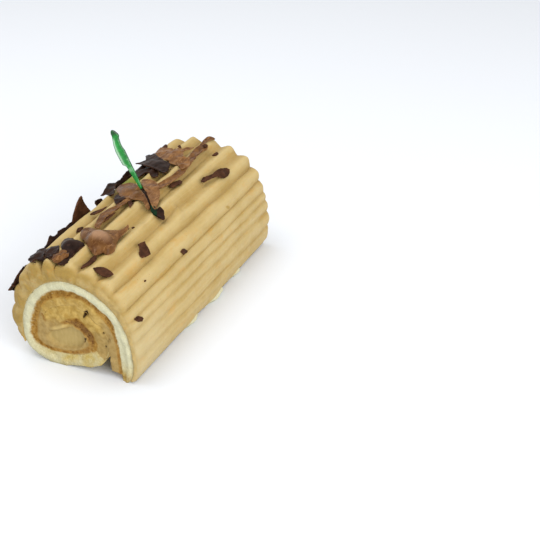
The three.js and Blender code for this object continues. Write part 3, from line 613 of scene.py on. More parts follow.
def cut_face(flat):
    """What shows at the cut end, at points of the section: how far the face stands out, and
    how much it is browned, smooth core, lumpy and warm, and tan."""
    x, z = flat.T
    spot = np.c_[x, 0 * x, z]
    core = smooth(depth_inside(flat, np.array(CORE)), -0.4, 1.1)
    tan = inside_polygon(flat, np.array(SKIN_LINE)[:, :2]).astype(float)
    brown = np.max([on_line(flat, line) for line in (SKIN_LINE, BURNT_LINE, BROWN_SPOT)], axis=0)
    # The lumpy and warm zone lies over the core.
    lumpy = smooth(z, 28, 36) * smooth(x, -23, -18) * (1 - smooth(x, 20, 27)) * tan
    # Relief: uneven everywhere, then lumps, the lip, the sunken core and the lower brown skin.
    relief = 0.5 * rough(spot, 4.5, 21, 2) + 0.15 * rough(spot, 2.2, 12, 1)
    relief = relief + lumpy * (0.9 + 1.1 * rough(spot, 6.5, 17, 2)) + 1.6 * on_line(flat, LIP_LINE)
    relief = lerp(relief, 0.2 * rough(spot, 5, 14) - CORE_DEPTH, core) - 0.35 * brown
    pit_depths = np.array(PITS)[:, 3:] * in_pits(x, z, 0.3)
    return relief - on_line(flat, SLIT_LINE) - pit_depths.max(0), brown, core, lumpy, tan


# ---- the sponge

SHEET_ROWS = 460
FACE_COLUMNS = 14
OUTER_COLUMNS, INNER_COLUMNS = 71, 11
CRUMB_OUT = 4.4  # how much further out the bare crumb under the coat's edge bulges
# Underneath, the sheet is thinner at the end of the free turn.
END_AT, END_REACH, END_THINNER = 0.69, 0.07, 2.4
# The white band at the cut end: how far it stands out, where across the sheet, and its reach.
BAND_OUT, BAND_AT, BAND_REACH = 1.1, 0.7, 0.36
FOOT_HEIGHT = 0.9  # what is lower than this rests on the floor


def build_sponge():
    share = np.linspace(0, 1, SHEET_ROWS)
    centre, out = sheet_at(share)
    half = sheet_half(share)
    # Once round the sheet: how far across it, y, and 1 or -1 at the near or far cut face.
    across = np.linspace(0, 1, FACE_COLUMNS + 1)
    loop = [(t, NEAR, 1) for t in across[:-1]]
    loop += [(1, y, 0) for y in np.linspace(NEAR, FAR, OUTER_COLUMNS + 1)[:-1]]
    loop += [(t, FAR, -1) for t in across[:0:-1]]
    loop += [(0, y, 0) for y in np.linspace(FAR, NEAR, INNER_COLUMNS + 1)[:-1]]
    t, y, cap = np.array(loop).T
    s, t_all, y_all = np.broadcast_arrays(share[:, None], t, y)
    thinner = END_THINNER * bump(share - END_AT, END_REACH)[:, None] * t
    section = centre[:, None] + out[:, None] * (half[:, None] * (2 * t - 1) - thinner)[..., None]
    bulge = bulge_out(section[..., 1], y_all)
    bulge = bulge + CRUMB_OUT * opened(y) * bump(section[..., 1] - 2.6, 6)
    section[..., 0] += np.where((t == 1) & (s < 0.1), bulge, 0)
    points = place(section, y_all)
    normal = place(section + out[:, None], y) - place(section, y)
    # Crumb on the outer face.
    crumb = 0.45 * rough(points, 2.4, 3) + 0.3 * rough(points, 6, 5)
    points += normal * np.where((t == 1) & (s > 0.001), crumb, 0)[..., None]
    # The cut faces: a rounded white band, and rougher crumb further in.
    relief, brown, _, lumpy, tan = [v.reshape(s.shape)
                                    for v in cut_face(points[..., [0, 2]].reshape(-1, 2))]
    outer_turn = 1 - smooth(s, 0.6, 0.7)
    relief = relief + BAND_OUT * bump(t_all - BAND_AT, BAND_REACH) * outer_turn
    points[..., 1] -= cap * relief
    points[..., 2] = np.where(points[..., 2] < FOOT_HEIGHT, 0, points[..., 2])
    # Where it is yellow, soaked and brown, by share of the sheet: 0 is its free end, 1 the core.
    on_face = np.abs(cap)
    hidden = (1 - on_face) * (t == 0)
    inner_side = 1 - 0.45 * smooth(t_all, 0.3, 0.8) * (1 - smooth(s, 0.66, 0.72))
    flap_end = (1 - smooth(s, 0.02, 0.07)) * on_face
    attributes = {
        "rim": t_all * on_face,
        "soaked": np.clip(smooth(s, 0.74, 0.84) + tan * on_face, 0, 1),
        "yellow": np.clip(smooth(s, 0.5, 0.66) * inner_side + flap_end, 0, 1),
        "warm": lumpy,
        "brown": np.maximum(brown, 0.5 * (1 - smooth(s, 0.01, 0.04))) * on_face + 0.9 * hidden,
        "pit": pit_share(points[..., 0], points[..., 2]) * (cap == 1),
    }
    faces = tube_faces(SHEET_ROWS, len(t))
    add_mesh("sponge_roll", points, faces, sponge_material, ["sponge"], attributes)


build_sponge()

# ---- the filling

FILLING_OVERLAP = 0.3  # how far the cream reaches into the sponge, so that no gap shows
# Points inside the filling: how far apart, how far off a grid, and how far from its outline.
FILLING_STEP, FILLING_JITTER, FILLING_CLEAR = 0.7, 0.2, 0.35
FILLING_SEED = 4


def sheet_face(share, side, extra):
    centre, out = sheet_at(share)
    return centre + out * (side * (sheet_half(share) + extra))[..., None]


def filling_outline():
    over = -FILLING_OVERLAP
    along = sheet_face(np.linspace(STRIP_START, 1, 260), -1, over)
    back = sheet_face(np.linspace(1, NOTCH, 90), 1, over)
    free = sheet_face(np.linspace(STRIP_TOP, STRIP_START, 30), -1, STRIP_THICKNESS)
    return np.vstack([along, back, free])


def jittered_grid(edge, step, jitter, seed):
    columns = [np.arange(a, b, step) for a, b in zip(edge.min(0), edge.max(0))]
    grid = np.stack(np.meshgrid(*columns), -1).reshape(-1, 2)
    return grid + np.random.default_rng(seed).uniform(-jitter, jitter, grid.shape)


def clear_inside(spots, edge, clear):
    """The spots that are inside an outline, and clear of its points."""
    return spots[inside_polygon(spots, edge) & (distances(spots, edge).min(1) > clear)]


def neighbours(count):
    """Pairs of the numbers of neighbours on a closed line."""
    return [(i, (i + 1) % count) for i in range(count)]


def triangles(edge, *inner):
    """Points and faces that fill an outline through inner spots, and how far each point is
    from the outline's points."""
    spots = [Vector(p) for p in np.vstack([edge, *inner])]
    verts, _, faces, *_ = delaunay_2d_cdt(spots, neighbours(len(edge)), [], 1, 1e-6)
    flat = np.array([tuple(v) for v in verts])
    return flat, faces, distances(flat, edge).min(1)


def build_filling():
    outline = filling_outline()
    grid = jittered_grid(outline, FILLING_STEP, FILLING_JITTER, FILLING_SEED)
    flat, faces, from_edge = triangles(outline, clear_inside(grid, outline, FILLING_CLEAR))
    near_points, far_points = place(flat, NEAR), place(flat, FAR)
    relief, brown, core, lumpy, _ = cut_face(flat)
    near_points[:, 1] -= relief
    far_points[:, 1] += 0.5 * rough(far_points, 3.4, 31) * smooth(from_edge, 0, 1.5)
    points, zero = np.vstack([near_points, far_points]), 0 * core
    attributes = {
        "core": np.r_[core, zero],
        "warm": np.r_[lumpy, lumpy],
        "brown": np.r_[brown, brown],
        "lip": np.r_[on_line(flat, LIP_LINE), zero],
        "pit": np.r_[pit_share(*flat.T), zero],
    }
    faces = closed(faces, neighbours(len(outline)), len(flat))
    add_mesh("coffee_cream_filling", points, faces, filling_material,
             ["coffee_filling"], attributes)


build_filling()

# ---- the coat

RIDGE_STEPS = 26
CAP_STEPS = 9
LOW_END = 0.06  # the share over which the coat thins out at the back
LOW_END_THINNER = 2.4
# Spots where the cream was pushed about: share, y, reach in mm and height.
PUSHED = [
    (0.592, 1, 5, 1.6), (0.606, -3, 6, 2.6), (0.624, -8, 6, 1.6), (0.577, -13, 5, -1.8),
    (0.27, -98, 11, -3), (0.19, -98, 10, -1.9), (0.33, -100, 7, -1.2),
    (0.556, -30, 8, -0.8), (0.5, 70, 9, -0.8), (0.66, 30, 9, 0.7), (0.69, -52, 8, 0.6),
]


def ridge_ends(y):
    """The share at which each ridge ends, at each y."""
    t = (y - NEAR) / LENGTH
    ends = []
    for k, (near, far, _) in enumerate(RIDGES):
        spot = np.stack([y / 26, 0 * y + 7.3 * k, 0 * y], -1)
        wander = RIDGE_WANDER * (0.5 if k > 8 else 1) * rough(spot, 1, 31, 2)
        ends.append(lerp(near, far, t) + wander)
    ends[-1] = coat_edge(y)
    return np.array(ends)


def coat_edge(y):
    """The share at which the coat's lower edge on the right lies: 1 where it isn't lifted."""
    return 1 - EDGE_LIFT * opened(y) / COAT_LENGTH


def cream_height(share, y):
    """How high the cream lies over the coat's path, and how deep in a valley: 0 on a crest. That
    depth sets the crests' painted highlight and the valleys' painted shade.
    """
    ends = ridge_ends(y)
    k = np.minimum((share > ends + 1e-9).sum(0), len(RIDGES) - 1)  # the ridge's number
    high = np.take_along_axis(ends, k[None], 0)[0]
    low = np.where(k > 0, np.take_along_axis(ends, np.maximum(k - 1, 0)[None], 0)[0], 0)
    across = np.clip((share - low) / (high - low), 0, 1)
    # Most crests are broad. Higher numbers are more creased, and the near end is toothed.
    sharp = np.interp(k, (0, 5, 8), (1.9, 1.6, 1.2))
    broad = 1 - np.abs(np.cos(np.pi * across)) ** sharp
    narrow = lerp(np.interp(k, (7, 9), (1.05, 0.6)), 1.05, smooth(y, 75, 97))
    creased = np.sin(np.pi * across) ** narrow
    broad = lerp(broad, creased, np.interp(k, (1, 3, 7, 9), (0.2, 0.45, 0.45, 0.9)))
    toothed = 1 - smooth(y, NEAR + 2, NEAR + 12)
    dome = lerp(broad, np.sin(np.pi * across) ** 0.75, toothed)
    # Depth: calmer on the right flank, deeper at the near end, smeared at its very edge.
    calm = lerp(1, 0.62, smooth(k, 6, 10) * (1 - smooth(y, 70, 96)))
    teeth = np.interp(k, (1, 3, 6, 9), (1.1, 1.55, 1.5, 1.15))
    smeared = 0.7 * (1 - smooth(y, NEAR + 1.5, NEAR + 7)) * smooth(k, 4.5, 6.5)
    size = np.array([r[2] for r in RIDGES])[k] * calm * lerp(1, teeth, toothed) * (1 - smeared)
    rolled = np.stack([share * COAT_LENGTH, y, 0 * y], -1)
    uneven = 1 + 0.28 * waves(np.stack([3.7 * k, y / 22, 0 * y], -1), 1, 37)
    height = size * uneven * (dome - 0.5)
    for at, spot_y, reach, push in PUSHED:
        away = np.hypot((share - at) * COAT_LENGTH, y - spot_y)
        height = height + push * bump(away, reach)
    # Fine lines that the comb drew, and lumps.
    drag = waves(rolled * (1, 0.02, 1), 0.8, 41) * 0.1
    drag = drag + waves(rolled * (1, 0.03, 1), 2.1, 42) * 0.18
    lumps = 0.35 * rough(rolled * (1, 0.55, 1), 10, 43) + 0.08 * rough(rolled, 2, 47)
    fade = np.minimum(1, np.minimum(share, np.abs(ends[-1] - share)) / EDGE_FADE)
    # The valleys' painted shade is weaker on the lower right flank.
    shaded = lerp(1, 0.6, smooth(k, 8, 10))
    return (height + drag + lumps) * fade, (1 - dome) * fade * shaded


def end_drop(y):
    """How far the coat is rounded off towards its ends, as a share of its thickness."""
    rounding = np.where(y < 0, NEAR_ROUNDING, FAR_ROUNDING)
    share = np.minimum(1, (FAR - np.abs(y)) / rounding)
    return np.where(y < 0, NEAR_DROP, FAR_DROP) * (1 - np.sqrt(1 - (1 - share) ** 2))


fine_share = np.linspace(0, COAT_SHARE, 400)
sponge_outside = sheet_face(fine_share, 1, 0)


def coat_depth(point):
    """How far points of the coat's path are from the sponge, and where on it they lie."""
    away = point[..., None, :] - sponge_outside
    distance = np.hypot(away[..., 0], away[..., 1])
    nearest = distance.argmin(-1)
    return distance.min(-1), fine_share[nearest]


depth_shares = np.linspace(0, 1, 300)
depth_values, sheet_shares = coat_depth(coat_at(depth_shares)[0])
sheet_shares = np.minimum.accumulate(sheet_shares)


# Painted shadow: a green-tinted shade that the translucent pick casts on the cream.
GREEN_SHADOW_SPOT = (0.352, 19, 14)  # where the green pick tints the cream: share, y and reach
# A golden speck on the right flank, darkened with the valleys' painted shade as if it were a small
# dent: share, y, how much longer than wide, and reach.
GOLDEN_SPECK = (0.722, 43.7, 2.6, 1.5)
SPECK_TURN = (0.88, 0.48)  # cosine and sine
INNER_ROWS = 16
# The coat's rows lie closer together over these lengths at its ends, by this power.
NEAR_FINE, FAR_FINE, CLOSER = 8, 3, 1.6
NO_SHEET_END = 0.001  # the inner face keeps off the very end of the sheet
INNER_GAP = -0.2  # the inner face is this far in the sponge, so that no gap shows


def build_coat():
    steps = np.arange(RIDGE_STEPS) / RIDGE_STEPS
    across = np.r_[np.tile(steps, len(RIDGES)), 1.0]
    ridge = np.r_[np.repeat(np.arange(len(RIDGES)), RIDGE_STEPS), len(RIDGES) - 1]
    near_y = NEAR + NEAR_FINE * np.linspace(0, 1, 17) ** CLOSER
    far_y = FAR - FAR_FINE * np.linspace(1, 0, 9) ** CLOSER
    outer_y = np.r_[near_y, np.linspace(NEAR + 9.2, FAR - 3.6, 148), far_y]
    ends = ridge_ends(outer_y)
    starts = np.vstack([np.zeros(len(outer_y)), ends[:-1]])
    share = lerp(starts[ridge], ends[ridge], across[:, None])
    y = np.broadcast_to(outer_y, share.shape)
    point, out = coat_at(share)
    depth = np.interp(share, depth_shares, depth_values)
    drop = end_drop(y)
    height, valley = [v.reshape(share.shape) for v in cream_height(share.ravel(), y.ravel())]
    height = height * (1 - drop) - depth * drop
    height = height - LOW_END_THINNER * (1 - smooth(share, 0, LOW_END))
    height = np.maximum(height, THINNEST_COAT - depth)
    point = point + out * height[..., None]
    point[..., 0] += np.where(share > 0.5, bulge_out(point[..., 1], y), 0)
    outer = place(point, y)
    # The inner face, against the sponge.
    inner_y = np.linspace(FAR, NEAR, INNER_ROWS)
    inner_share = np.interp(share[:, :1], depth_shares, sheet_shares)
    inner_section = sheet_face(np.maximum(inner_share, NO_SHEET_END), 1, INNER_GAP)
    inner_section = np.repeat(inner_section, INNER_ROWS, 1)
    bulge = bulge_out(inner_section[..., 1], inner_y)
    inner_section[..., 0] += np.where(inner_share < 0.1, bulge, 0)
    inner = place(inner_section, np.broadcast_to(inner_y, inner_section.shape[:2]))
    # The caps at the two ends.
    w = np.linspace(0, 1, CAP_STEPS + 1)[1:-1, None]
    far_cap = lerp(outer[:, None, -1], inner[:, None, 0], w)
    near_cap = lerp(inner[:, None, -1], outer[:, None, 0], w)
    swell = np.sin(np.pi * w[:, 0])
    lump = 0.5 * rough(near_cap, 5, 51) + 0.15 * rough(near_cap, 1.6, 55, 2)
    near_cap[..., 1] -= (1 + 1.5 * lump) * swell ** 0.6
    far_cap[..., 1] += 0.5 * swell * (1 + rough(far_cap, 4, 58))
    points = np.concatenate([outer, far_cap, inner, near_cap], 1)
    # The golden speck, which also takes the valleys' painted shade, and gold at the near end, most
    # of all on the left and the top.
    speck_u, speck_y = (share - GOLDEN_SPECK[0]) * COAT_LENGTH, y - GOLDEN_SPECK[1]
    cosine, sine = SPECK_TURN
    long, wide = cosine * speck_y + sine * speck_u, cosine * speck_u - sine * speck_y
    speck = np.clip(1.6 * bump(np.hypot(long / GOLDEN_SPECK[2], wide), GOLDEN_SPECK[3]), 0, 1)
    top_left = lerp(0.35, 1, 1 - smooth(share[:, :1], 0.5, 0.8))
    golden = (1 - smooth(outer_y, -99.7, -96.5)) * top_left
    away = np.hypot((share - GREEN_SHADOW_SPOT[0]) * COAT_LENGTH, (y - GREEN_SHADOW_SPOT[1]) * 0.8)
    outer_values = {
        # The valleys' painted shade, with the golden speck in it.
        "valley": np.maximum(valley, speck),
        # The near end of the right side is painted paler, as painted light.
        "pale": 0.3 * smooth(share, 0.72, 0.86) * (1 - smooth(y, -92, -45)),
        "golden": np.maximum(golden, speck),
        "green_shadow": 0.95 * bump(away, GREEN_SHADOW_SPOT[2]) ** 0.6,
    }
    pad = np.zeros((len(share), points.shape[1] - len(outer_y)))
    attributes = {key: np.hstack([values, pad]) for key, values in outer_values.items()}
    attributes["golden"][:, -(CAP_STEPS - 1):] = top_left  # the near cap
    faces = tube_faces(*points.shape[:2])
    add_mesh("combed_cream_coat", points, faces, coat_material, ["cream_coat"],
             attributes)


build_coat()

# ---- the chocolate

# Pieces with four corners or a path: how thick, ragged and rippled they are, and how far
# apart their points are.
THICKNESS, RAGGED, RIPPLE, FINENESS = 1.3, 0.5, 0.2, 0.7


def unit(vectors):
    return vectors / np.linalg.norm(vectors, axis=-1, keepdims=True)


def plate(corners, arch, dome):
    """A surface between four corners, each a share, y and height. It arches across, and
    domes in the middle."""
    a, b, c, d = [np.array(corner, float) for corner in corners]

    def surface(u, v):
        u, v = u[..., None], v[..., None]
        spot = (a * (1 - u) + b * u) * (1 - v) + (d * (1 - u) + c * u) * v
        across, along = 4 * u[..., 0] * (1 - u[..., 0]), 4 * v[..., 0] * (1 - v[..., 0])
        height = spot[..., 2] + arch * across + dome * across * along
        return over_coat(spot[..., 0], spot[..., 1], height)

    return surface


def ribbon(path):
    """A surface along spots, each a share, y, height and width."""
    rows = np.array(path, float)
    at = np.linspace(0, 1, len(rows))
    line = over_coat(*rows.T[:3])
    ends = np.vstack([2 * line[0] - line[1], line, 2 * line[-1] - line[-2]])

    def surface(u, v):
        point, tangent = on_curve(ends, v * (len(rows) - 1))
        share, y, _, width = [np.interp(v, at, column) for column in rows.T]
        out = over_coat(share, y, np.ones_like(y)) - over_coat(share, y, np.zeros_like(y))
        side = unit(np.cross(tangent, out))
        return point + side * ((u - 0.5) * width)[..., None]

    return surface


BENT = {
    "dark_front_spike": [
        plate([(0.165, -90, 1.6), (0.2, -89, 1.8), (0.222, -97, 1.2), (0.21, -102.5, 1.6)], 0, 0.4),
        ribbon([(0.21, -96.5, 1.4, 2.2), (0.245, -96, 1.4, 2.4), (0.275, -91, 2, 1.4)]),
    ],
    "dark_ridge_chip": [
        plate([(0.29, 25, 2.4), (0.3, 40, 4.2), (0.33, 38, 2), (0.32, 24, 1.8)], 0, 0.4),
    ],
    "dark_triangle": [
        plate([(0.296, -41.5, 0.4), (0.296, -17, 0.4), (0.345, -29.6, 13.6), (0.343, -31, 13.6)],
              0, 0.6),
    ],
    "milk_flank_curl": [
        plate([(0.12, -34, 1.8), (0.2, -28, 2), (0.19, -8, 1.8), (0.13, -12, 1.8)], 2, 1),
    ],
    "dark_flank_shard": [
        plate([(0.13, 30, 1.6), (0.21, 26, 2), (0.2, 44, 2.4), (0.15, 48, 1.8)], 0.8, 0.6),
    ],
}
# Pieces with an outline, as seen on the coat: its usual height over the coat's path, then
# spots of its outline and of its inside. A spot is a share in thousandths, y and a height.
OUTLINED = {
    "milk_big_curl": (2.3, [
        (408, -59.1), (407, -55), (424, -53.2), (450, -54.4), (471, -55.1), (491, -53.4),
        (509, -51), (522, -48), (526, -43.6), (525, -40.5), (534, -42.2), (540, -46.1),
        (541, -50.7), (542, -55.3), (545, -59.5), (552, -63.6), (560, -67.4), (565, -71.5),
        (560, -75.2), (551, -76.3), (541, -76.5), (535, -78.7), (526, -80.5), (509, -78.9),
        (491, -76.5), (471, -73), (454, -69.7), (438, -67.8), (420, -63.7)],
        [(493, -71, 10.5), (501, -65.1, 8.5), (518, -73.8, 3.6), (541, -72, 7.4),
         (540, -65.6, 5.6), (447, -62.3, 4.2), (524, -77.9, 2.8), (553, -74.5, 3.6),
         (525, -55.3, 3.4), (497, -76.5, 4.4), (470, -66, 5.4), (481, -60, 4.2)]),
    "milk_left_plate": (2.2, [
        (350, 5.1), (348, 10.2), (366, 12.6), (385, 13.3), (418, 9.2, 2.8), (444, 4.1, 3.2),
        (472, -2.1, 3.6), (500, -7.9, 3.6), (522, -12.9, 3.4), (539, -16.5, 2.8),
        (539, -19.1, 2.6), (527, -18.1, 2.8), (513, -14.9, 3), (499, -13, 3), (482, -12.9, 3),
        (461, -13.4, 3), (443, -12.4, 2.8), (422, -11.6, 2.4), (402, -8.5), (387, -4.2),
        (370, -1.1)],
        [(428, -2.5, 4), (397, 0.1, 3.6), (465, -6.3, 4.4), (501, -11.6, 3.9), (458, -10.7, 3),
         (405, 7, 1.8), (380, 5, 2.2), (440, -9, 2.2), (450, 0, 2.6)]),
    "milk_right_plate": (2.4, [
        (420, 16.7), (432, 18.1), (452, 17.8), (471, 16.6), (488, 13.9), (507, 8.9), (527, 2.2),
        (541, -4.6), (551, -10.4), (558, -14.3), (556, -16.2), (543, -14.9), (530, -11.9),
        (509, -6.6), (486, -1.4), (463, 3.8), (439, 9.8)],
        [(489, 4.7, 1.8), (523, -3.5, 2.4), (455, 12.2, 1.8), (534, -10.2, 2.8), (500, 8, 3.8),
         (474, 3, 3.6), (460, 7, 3.2)]),
    "milk_long_ribbon": (2.4, [
        (484, 12), (493, 20.2), (503, 29.9), (503, 37.9), (500, 45.4), (491, 52), (488, 59.1),
        (487, 64.5), (482, 71.4), (481, 77), (483, 82.9), (478, 90.2), (480, 96.3, 2.8),
        (491, 98.8, 2.8), (510, 97.5), (503, 95), (496, 91.1), (498, 86.5), (514, 83), (521, 78.3),
        (515, 75.8), (512, 72.2), (514, 64.3), (519, 54.1), (523, 45.9), (528, 36.3), (526, 27.6),
        (522, 18.7), (515, 11.2), (503, 8.7), (487, 10)],
        [(503, 17.8, 2), (511, 40.7, 1.4), (501, 62.5, 1.5), (494, 83.3, 2.2), (508, 29.3, 1.6),
         (510, 50, 1.5), (497, 72, 1.7)]),
    "milk_front_ribbon": (2.2, [
        (456, -10.4, 2.6), (446, -12.3, 2.5), (439, -15), (435, -20.4), (430, -25.1),
        (420, -28.3), (416, -32), (414, -36.4), (421, -42), (433, -48.8), (443, -53.9),
        (463, -54.8), (458, -50.3), (450, -43.8), (445, -39.1), (449, -35.3), (450, -30.9),
        (452, -25.6), (454, -20.3), (456, -15.7), (461, -12.3)],
        [(438, -41.5, 3.2), (443, -31.9, 3.2), (450, -50.6, 2.8), (449, -23.6, 2.9)]),
    "milk_rear_plate": (2.2, [
        (318, 72), (323, 75.7), (334, 77.9), (357, 75.9), (381, 75.1), (416, 71), (440, 71),
        (456, 74), (473, 76.7), (469, 72.1), (457, 68), (466, 62.6), (476, 58.4), (491, 58.6),
        (497, 61), (503, 55.9), (503, 49.6), (499, 45.4), (487, 45.1), (466, 46.8), (445, 48.6),
        (433, 51.4), (408, 53.1), (379, 57.9), (350, 63.9)],
        [(424, 58.3, 3.6), (466, 55.8, 3.4), (385, 64, 3.6), (445, 69, 2.6)]),
    "milk_rear_shaving": (2.4, [
        (475, 48.5), (488, 49.7), (498, 51.7), (503, 55.1), (514, 53.8), (519, 49.3),
        (518, 44.8), (516, 41.8), (504, 41.9), (489, 44.5)],
        [(509, 45.4, 3.4)]),
    "milk_front_curl": (2.6, [
        (418, -95.6), (415, -92.5), (423, -90.5), (422, -86.8), (435, -85.4), (451, -86.2),
        (461, -88.7), (465, -91.5), (459, -93.7), (460, -96.1), (453, -98.4), (436, -98.6)],
        [(437, -94.5, 4.8), (431, -90.4, 3), (455, -91, 4.6), (446, -92.5, 2.8)]),
    "dark_rounded_curl": (2, [
        (393, -77.6), (377, -72.8), (375, -68.7), (386, -67.3), (404, -67.8), (421, -70.4),
        (430, -69.6), (447, -71.4), (458, -72.1), (471, -74.4), (469, -79), (469, -83.5),
        (472, -87.6), (473, -91.3), (480, -95.5), (475, -98.2), (467, -99.4), (455, -99.6),
        (448, -97), (440, -92), (432, -87), (422, -85)],
        [(420, -76.5, 4.8), (424, -80.2, 4.4), (440, -77.5, 3.8), (455, -76.7, 2.2),
         (458, -84.5, 2.6), (462, -93, 2)]),
    "dark_slope_shard": (2, [
        (370, -88.5), (359, -84.2), (361, -80.3), (374, -78.2), (391, -79), (412, -84.5),
        (420, -88.2), (418, -90.1), (416, -92.6), (420, -97.2), (401, -97), (388, -93)],
        [(394, -85.4, 3.8), (392, -91.2, 2.8)]),
    "dark_corner_shard": (2.2, [
        (358, -99.6, 3), (324, -94.7, 3), (312, -89, 3), (312, -85, 3), (310, -80.7, 2.8),
        (332, -81.9, 2.6), (342, -80.7, 2.4), (358, -83.6), (369, -87.8), (383, -92.6),
        (396, -96.8), (379, -96.8), (363, -96.8), (362, -98.8), (374, -99.2), (372, -99.8),
        (362, -99.8)],
        [(347, -91.7, 3.2), (351, -98.3, 3.2)]),
    "dark_large_shard": (2.4, [
        (323, 45.5, 5.4), (333, 46.2, 4.6), (342, 48.6, 4.2), (347, 50.7, 4.2), (313, 64.2, 4.4),
        (328, 62.6, 4.2), (343, 61.2, 4), (347, 63.7, 3.8), (369, 58.3, 3.6), (396, 53.3, 3.2),
        (424, 49.4, 2.8), (445, 47, 2.6), (461, 43.9), (473, 36.1), (474, 30.2),
        (459, 30.3, 2.6), (441, 32.1, 3), (416, 34.8, 3.2), (396, 36.8, 3.6), (375, 38.5, 4),
        (350, 42.1, 4.4)],
        [(407, 41.9, 4.4), (447, 38, 3.4)]),
    "dark_under_shard": (1.2, [
        (307, 44.5), (318, 45.5), (316, 51.2), (349, 46.3), (385, 41.1), (424, 36), (445, 32.3),
        (457, 26.2), (450, 23.7), (428, 26.6), (400, 31.8), (389, 31.3), (386, 27.2),
        (388, 22.8), (370, 26.2), (332, 36.2)],
        [(382, 36.7, 2.6)]),
    "dark_square_chip": (2.5, [
        (316, -4.5, 4.6), (320, 0.8, 5.6), (320, 4.4, 5.8), (318, 7.2, 7.4), (320, 10.2, 6.6),
        (322, 12.6, 5.1), (328, 14, 3.6), (337, 8.3), (360, -0.4), (370, -5.8), (358, -6.6),
        (327, -2.3), (320, -3.9, 3.4)],
        [(340, 2, 4.4)]),
    "dark_small_curl": (2, [
        (379, -6.6), (387, -5), (406, -8.6), (422, -9.8), (440, -10.8), (438, -14.3),
        (433, -17.2), (433, -20.2), (427, -21), (412, -18.2), (393, -12.5)],
        [(417, -15.5, 3.6), (430, -14.6, 2.6)]),
    # The slit shard is a dark sheet laid in the gap between the milk plates, as painted shade
    # there.
    "dark_slit_shard": (1.3, [
        (431, 9.6), (444, 8.4), (467, 3.4), (489, -1.1), (512, -6.2), (531, -11), (547, -12.7),
        (563, -14.2), (573, -17.6), (574, -19.9), (560, -19.1), (544, -17), (530, -14.1),
        (507, -9.1), (479, -2.8), (452, 3.2)], []),
    "dark_pocket_shard": (2.1, [
        (566, -16.8), (559, -12.7, 2.8), (560, -10.8, 3), (569, -11, 3), (580, -12.1, 2.8),
        (589, -14.7), (602, -18.2), (602, -20), (592, -20.7), (581, -21), (572, -19.9)], []),
    "dark_valley_flake": (0.9, [
        (521, 18.1), (517, 22.5), (526, 26.4), (534, 29.4), (544, 29.5), (547, 26), (540, 22.9),
        (536, 19), (529, 17.3)], []),
    "dark_long_flake": (2.2, [
        (590, 39.2, 1.8), (588, 43.9, 1.8), (596, 48.9, 2), (602, 52.8), (601, 57.9),
        (606, 62.8), (613, 66.8), (620, 69.8), (631, 70.1), (639, 67.5), (643, 62.8),
        (640, 58.1), (630, 55.7), (620, 54.8), (613, 50.3, 2), (607, 44.6, 1.8),
        (602, 39.9, 1.8), (597, 38, 1.8)],
        [(627, 61.1, 3)]),
    "dark_square_flake": (2, [
        (602, -54.3), (605, -50.9), (611, -48.4), (623, -50.1), (637, -51.7), (650, -53.8),
        (648, -57.1), (642, -60.9), (633, -61.3), (621, -59.4), (613, -56.2)], []),
    "dark_oval_flake": (1.9, [
        (562, -93.7), (564, -91), (572, -89.2), (582, -87.9), (595, -87.4), (610, -87.6),
        (617, -88.3), (616, -91.5), (609, -93.9), (598, -95.1), (586, -95.1), (575, -94.5)],
        [(595, -92.2, 2.7)]),
    "dark_groove_shard": (0.5, [
        (523, -95.5), (523, -91.5), (524, -87.4), (523, -83.5), (524, -80.6), (532, -79.6),
        (538, -82), (539, -85.4), (539, -88.6), (536, -91.2), (533, -94.6), (529, -96.2)], []),
}


def shares_with_fine_ends(count, length):
    """Shares from 0 to 1, closer together near both ends, where the rim is rounded."""
    fine = np.array([0, 0.08, 0.25, 0.5]) / length
    middle = np.linspace(0.9 / length, 1 - 0.9 / length, count)
    return np.r_[fine, middle, 1 - fine[::-1]]


